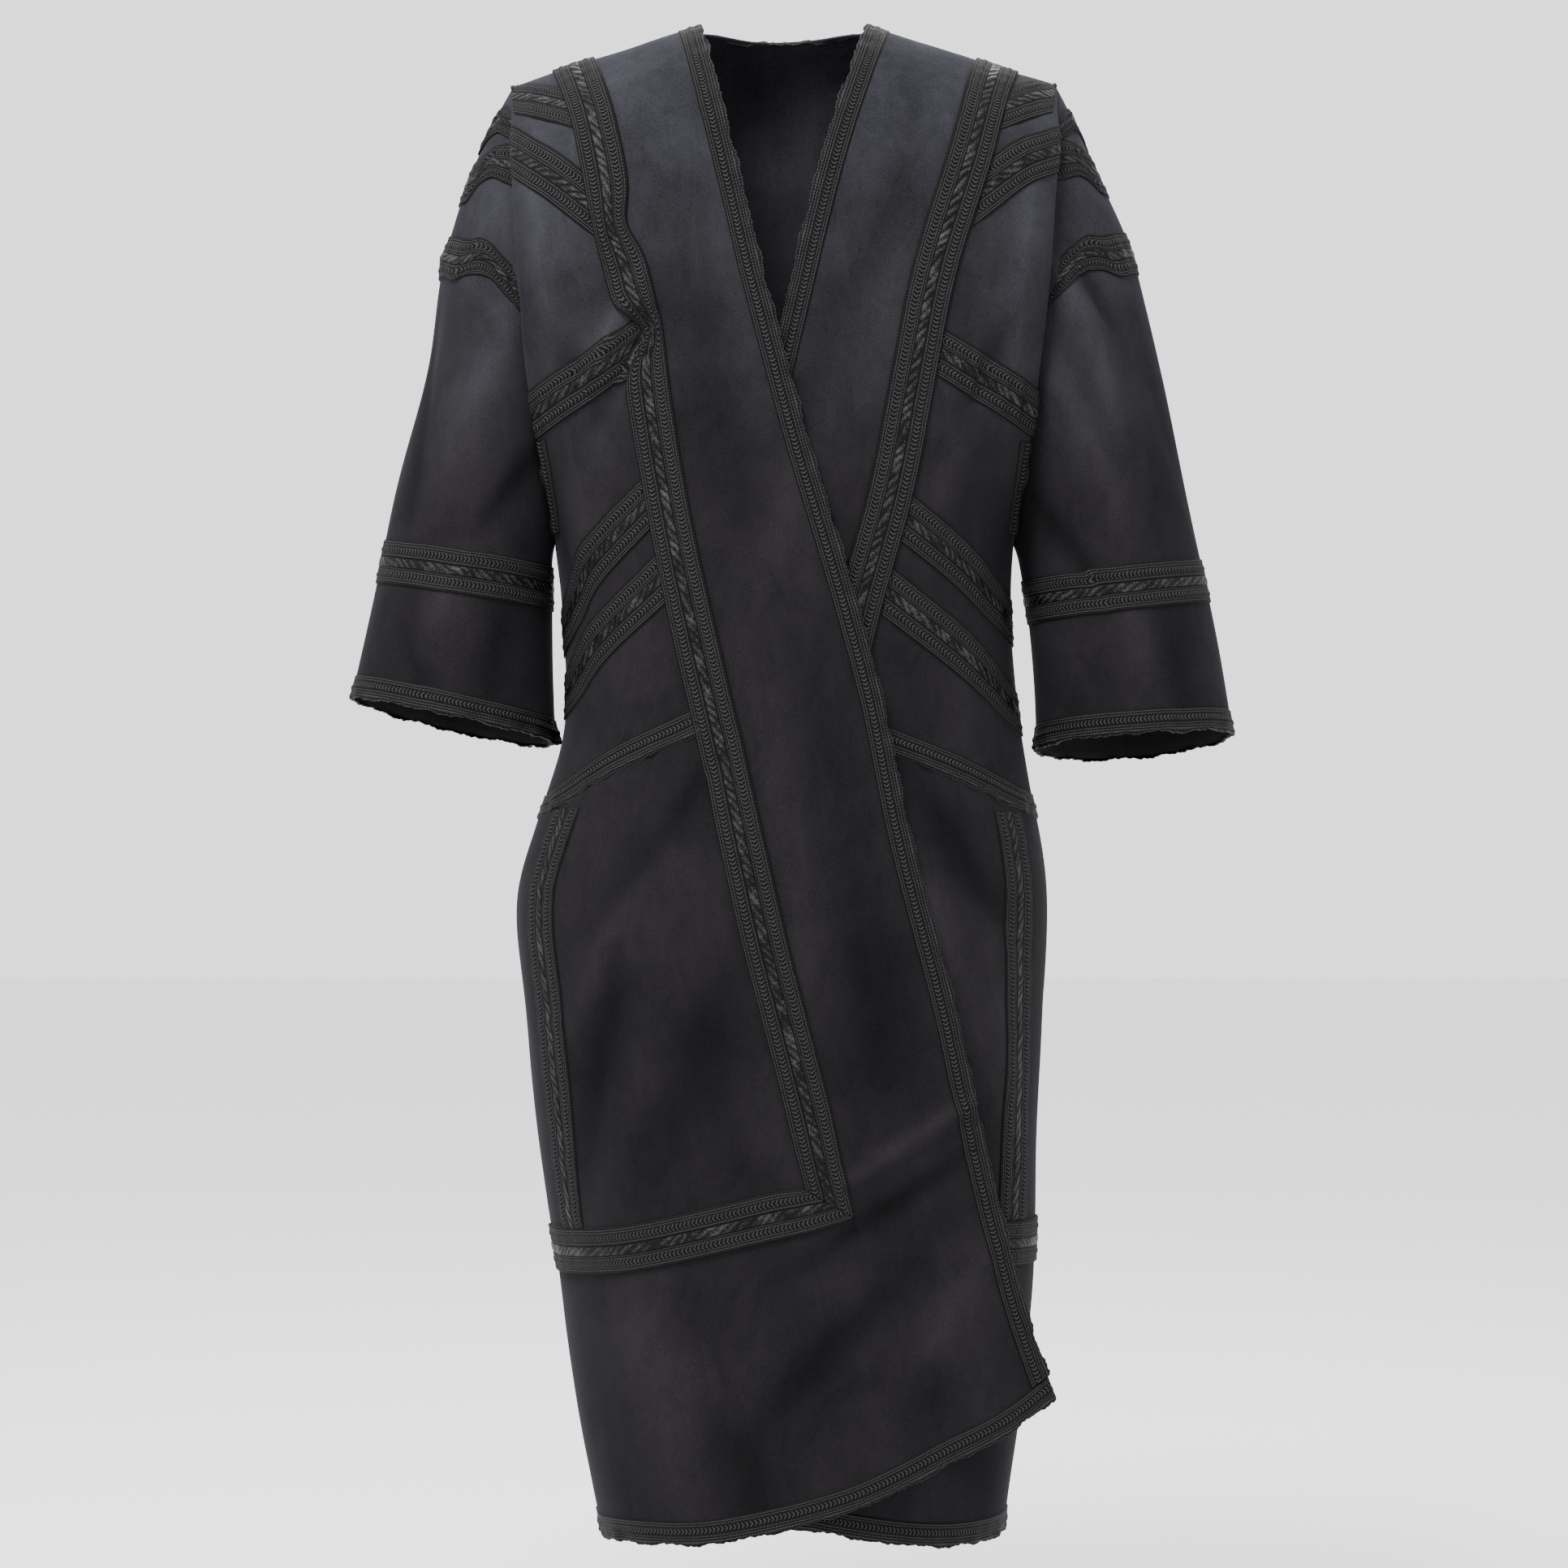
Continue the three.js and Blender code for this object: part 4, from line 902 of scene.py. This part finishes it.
def wide_braid(
    name, cloth, under=ON_CLOTH, ends=(0, 0), crosswise=False, buckle=0.25 * MM, twist=None, upward=1,
    upright=False,
):
    """A wide tape, made longer at its ends where it goes under another tape or into a seam. Its first
    end is the one nearer the middle, or the higher one where it is upright."""
    sides, ring = strip_sides(name, crosswise)
    first, last = sides[0].mean(axis=0), sides[-1].mean(axis=0)
    in_order = first[2] > last[2] if upright else abs(first[0]) < abs(last[0])
    extend = ends if in_order else ends[::-1]
    rows, along = dense_rows(sides, WIDE_STEP, ring, extend)
    seed = sum(map(ord, name))
    lift = np.zeros(len(along)) if ring else np.maximum(buckles(along, buckle, seed), BUCKLE_LOWEST)
    if twist:
        rows, twist_lift = twist(rows)
        lift = lift + twist_lift
    lean = fold_lean(rows, upward)

    def relief(length, across):
        off = across - WIDE / 2
        return ruching(length, off * lean) + lift[:, None] * np.cos(math.pi * off / WIDE) ** 0.5

    return lay_tape(
        name + "_tape", cloth, wide_profile(under), WIDE, wide_tape, ring, rows, along, relief,
        pressed=extend, lean=lean,
    )


# How far a tape's end goes on, past the end of its solid
UNDER_LINE = 14 * MM
UNDER_PINCH = 32 * MM
UNDER_LINE_AT_SHOULDER = 24 * MM
UNDER_POCKET = 12 * MM
UNDER_HEM_BAND = 15 * MM
TO_SEAM = 6 * MM
TO_SHOULDER_SEAM = 33 * MM
BEHIND_FRONT = 24 * MM

on_cloth = {name: [] for name in cloths}
for side, upward in (("right", 1), ("left", -1)):
    front, sleeve = f"front_{side}", f"sleeve_{side}"
    twist = pinch if side == "right" else None
    on_cloth[front].append(wide_braid(
        f"front_line_{side}", front, under=OVER_OTHERS, twist=twist, upward=-upward,
    ))
    on_cloth[front].append(wide_braid(f"front_band_{side}", front, under=OVER_OTHERS, upward=upward))
    on_cloth[front].append(wide_braid(
        f"side_band_{side}", front, ends=(UNDER_POCKET, UNDER_HEM_BAND), buckle=0.5 * MM, upward=-upward,
        upright=True,
    ))
    slanted = [
        # name, ends, buckle
        ("shoulder_band", (UNDER_LINE_AT_SHOULDER, TO_SHOULDER_SEAM), 0.7 * MM),
        ("yoke_band", (UNDER_LINE, TO_SEAM), 0.7 * MM),
        ("chest_band", (UNDER_PINCH if side == "right" else UNDER_LINE, TO_SEAM), 1.5 * MM),
        ("upper_waist_band", (UNDER_LINE, 0), 0.3 * MM),
        ("lower_waist_band", (UNDER_LINE, 0), 0.3 * MM),
    ]
    for name, ends, buckle in slanted:
        on_cloth[front].append(wide_braid(
            f"{name}_{side}", front, ends=ends, crosswise=name == "shoulder_band", buckle=buckle,
            upward=upward,
        ))
    for name in ("sleeve_shoulder_band", "sleeve_yoke_band", "sleeve_upper_ring"):
        on_cloth[sleeve].append(wide_braid(
            f"{name}_{side}", sleeve, ends=(BEHIND_FRONT, BEHIND_FRONT), buckle=0.8 * MM, upward=upward,
        ))
    on_cloth[sleeve].append(wide_braid(f"lower_ring_{side}", sleeve))
on_cloth["back"].append(wide_braid("back_band", "back"))


# Narrow braid
#
# A tape 19 mm wide with a plaited row and one scalloped edge. It binds every cut edge: the scallops
# fold a little way round the edge, and the straight side is stitched down on the cloth.

NARROW = 18.6 * MM
NARROW_STEP = 1.4 * MM
SCALLOP_PITCH = 5.6 * MM
SCALLOP_DEPTH = 1.0 * MM
NARROW_PLAIT = 0.8 * MM
NARROW_GROOVES = [-2.2 * MM, 4.1 * MM, 8.8 * MM]

# The tape's section, in millimetres: across from the bound edge, and height. Where the tape lies on
# the cloth by both sides, its section stays above the cloth.
LOWEST_ON_CLOTH = 0.1
NARROW_SECTION = [
    (-1.2, -3.0), (-1.9, -1.4), (-1.8, 0.2), (-1.0, 1.3), (0.8, 1.7), (2.4, 1.3), (4.0, 1.1), (5.4, 1.3),
    (6.6, 1.9), (7.8, 2.1), (9.0, 1.9), (10.2, 1.3), (12.0, 1.1), (14.0, 1.1), (16.5, 1.1), (17.8, 1.2),
    (18.4, 0.8), (18.6, 0.1),
]

# Waves along the bound edge, as height, pitch in millimetres and shift
EDGE_WANDER = [(0.7, 43, 0), (0.7, 67, 1)]
EDGE_PUCKER = (0.5, 13)
PUCKER_DRIFT = [(2, 61, 0)]
SCALLOP_SWELL = [(0.4, 31, 0)]

narrow_tape = braid_material("narrow_tape", plaits=[NARROW_PLAIT], grooves=NARROW_GROOVES, ribbon=False)


def scallops(along):
    """How far the bound edge stands out: small scallops, on an edge that wanders a little."""
    wander = waves(along, EDGE_WANDER)
    puckers = waves(along, [(*EDGE_PUCKER, waves(along, PUCKER_DRIFT))])
    uneven = 0.6 + waves(along, SCALLOP_SWELL)
    return SCALLOP_DEPTH * uneven * np.abs(np.sin(math.pi * along / SCALLOP_PITCH)) + (wander + puckers) * MM


def fluting(length, across):
    """The bound edge lifts and dips between its stitches."""
    place = length / MM
    dips = np.sin(place / 6.3) + np.sin(place / 9.1 + 2) + np.sin(place / 3.9 + 1)
    return 0.5 * MM * dips * np.clip(1 - across / NARROW, 0, 1) ** 1.5


def narrow_braid(name, cloth, bound="edge", ends=(0, 0)):
    """A narrow tape with its scallops at the cloth's edge, or at the lower side. ends lengthen it
    where it starts, nearer the middle or higher up, and where it stops."""
    sides, ring = strip_sides(name)
    first, last = sides[0], sides[-1]
    starts_here = True
    if bound == "lower":
        starts_here = np.abs(first[:, 0]).mean() < np.abs(last[:, 0]).mean()
    elif bound == "armhole":
        starts_here = first[:, 2].mean() > last[:, 2].mean()
    _, edge_tree = skin_of(cloths[cloth])
    if bound != "lower":
        off = [np.mean([edge_tree.find(Vector(p))[2] for p in sides[:, k]]) for k in (0, 1)]
        if off[1] < off[0]:
            sides = sides[:, ::-1]
    elif sides[:, 1, 2].mean() < sides[:, 0, 2].mean():
        sides = sides[:, ::-1]
    rows, along = dense_rows(sides, NARROW_STEP, ring, ends if starts_here else ends[::-1])
    lowest = LOWEST_ON_CLOTH if bound == "lower" else -math.inf
    profile = [(a * MM, max(h, lowest) * MM) for a, h in NARROW_SECTION]
    return lay_tape(
        name + "_tape", cloth, profile, NARROW, narrow_tape, ring, rows, along, fluting, edge_at=scallops,
    )


DOWN_ARMHOLE = 34 * MM

for side in ("right", "left"):
    front, sleeve = f"front_{side}", f"sleeve_{side}"
    on_cloth[front].append(narrow_braid(f"edge_braid_{side}", front))
    on_cloth[front].append(narrow_braid(f"hem_braid_{side}", front))
    on_cloth[front].append(narrow_braid(f"pocket_band_{side}", front, bound="lower", ends=(UNDER_LINE, 0)))
    on_cloth[front].append(narrow_braid(
        f"armhole_braid_{side}", front, bound="armhole", ends=(TO_SEAM, DOWN_ARMHOLE),
    ))
    on_cloth[sleeve].append(narrow_braid(f"cuff_braid_{side}", sleeve))
on_cloth["back"].append(narrow_braid("hem_braid_back", "back"))
on_cloth["back"].append(narrow_braid("neck_braid_back", "back"))
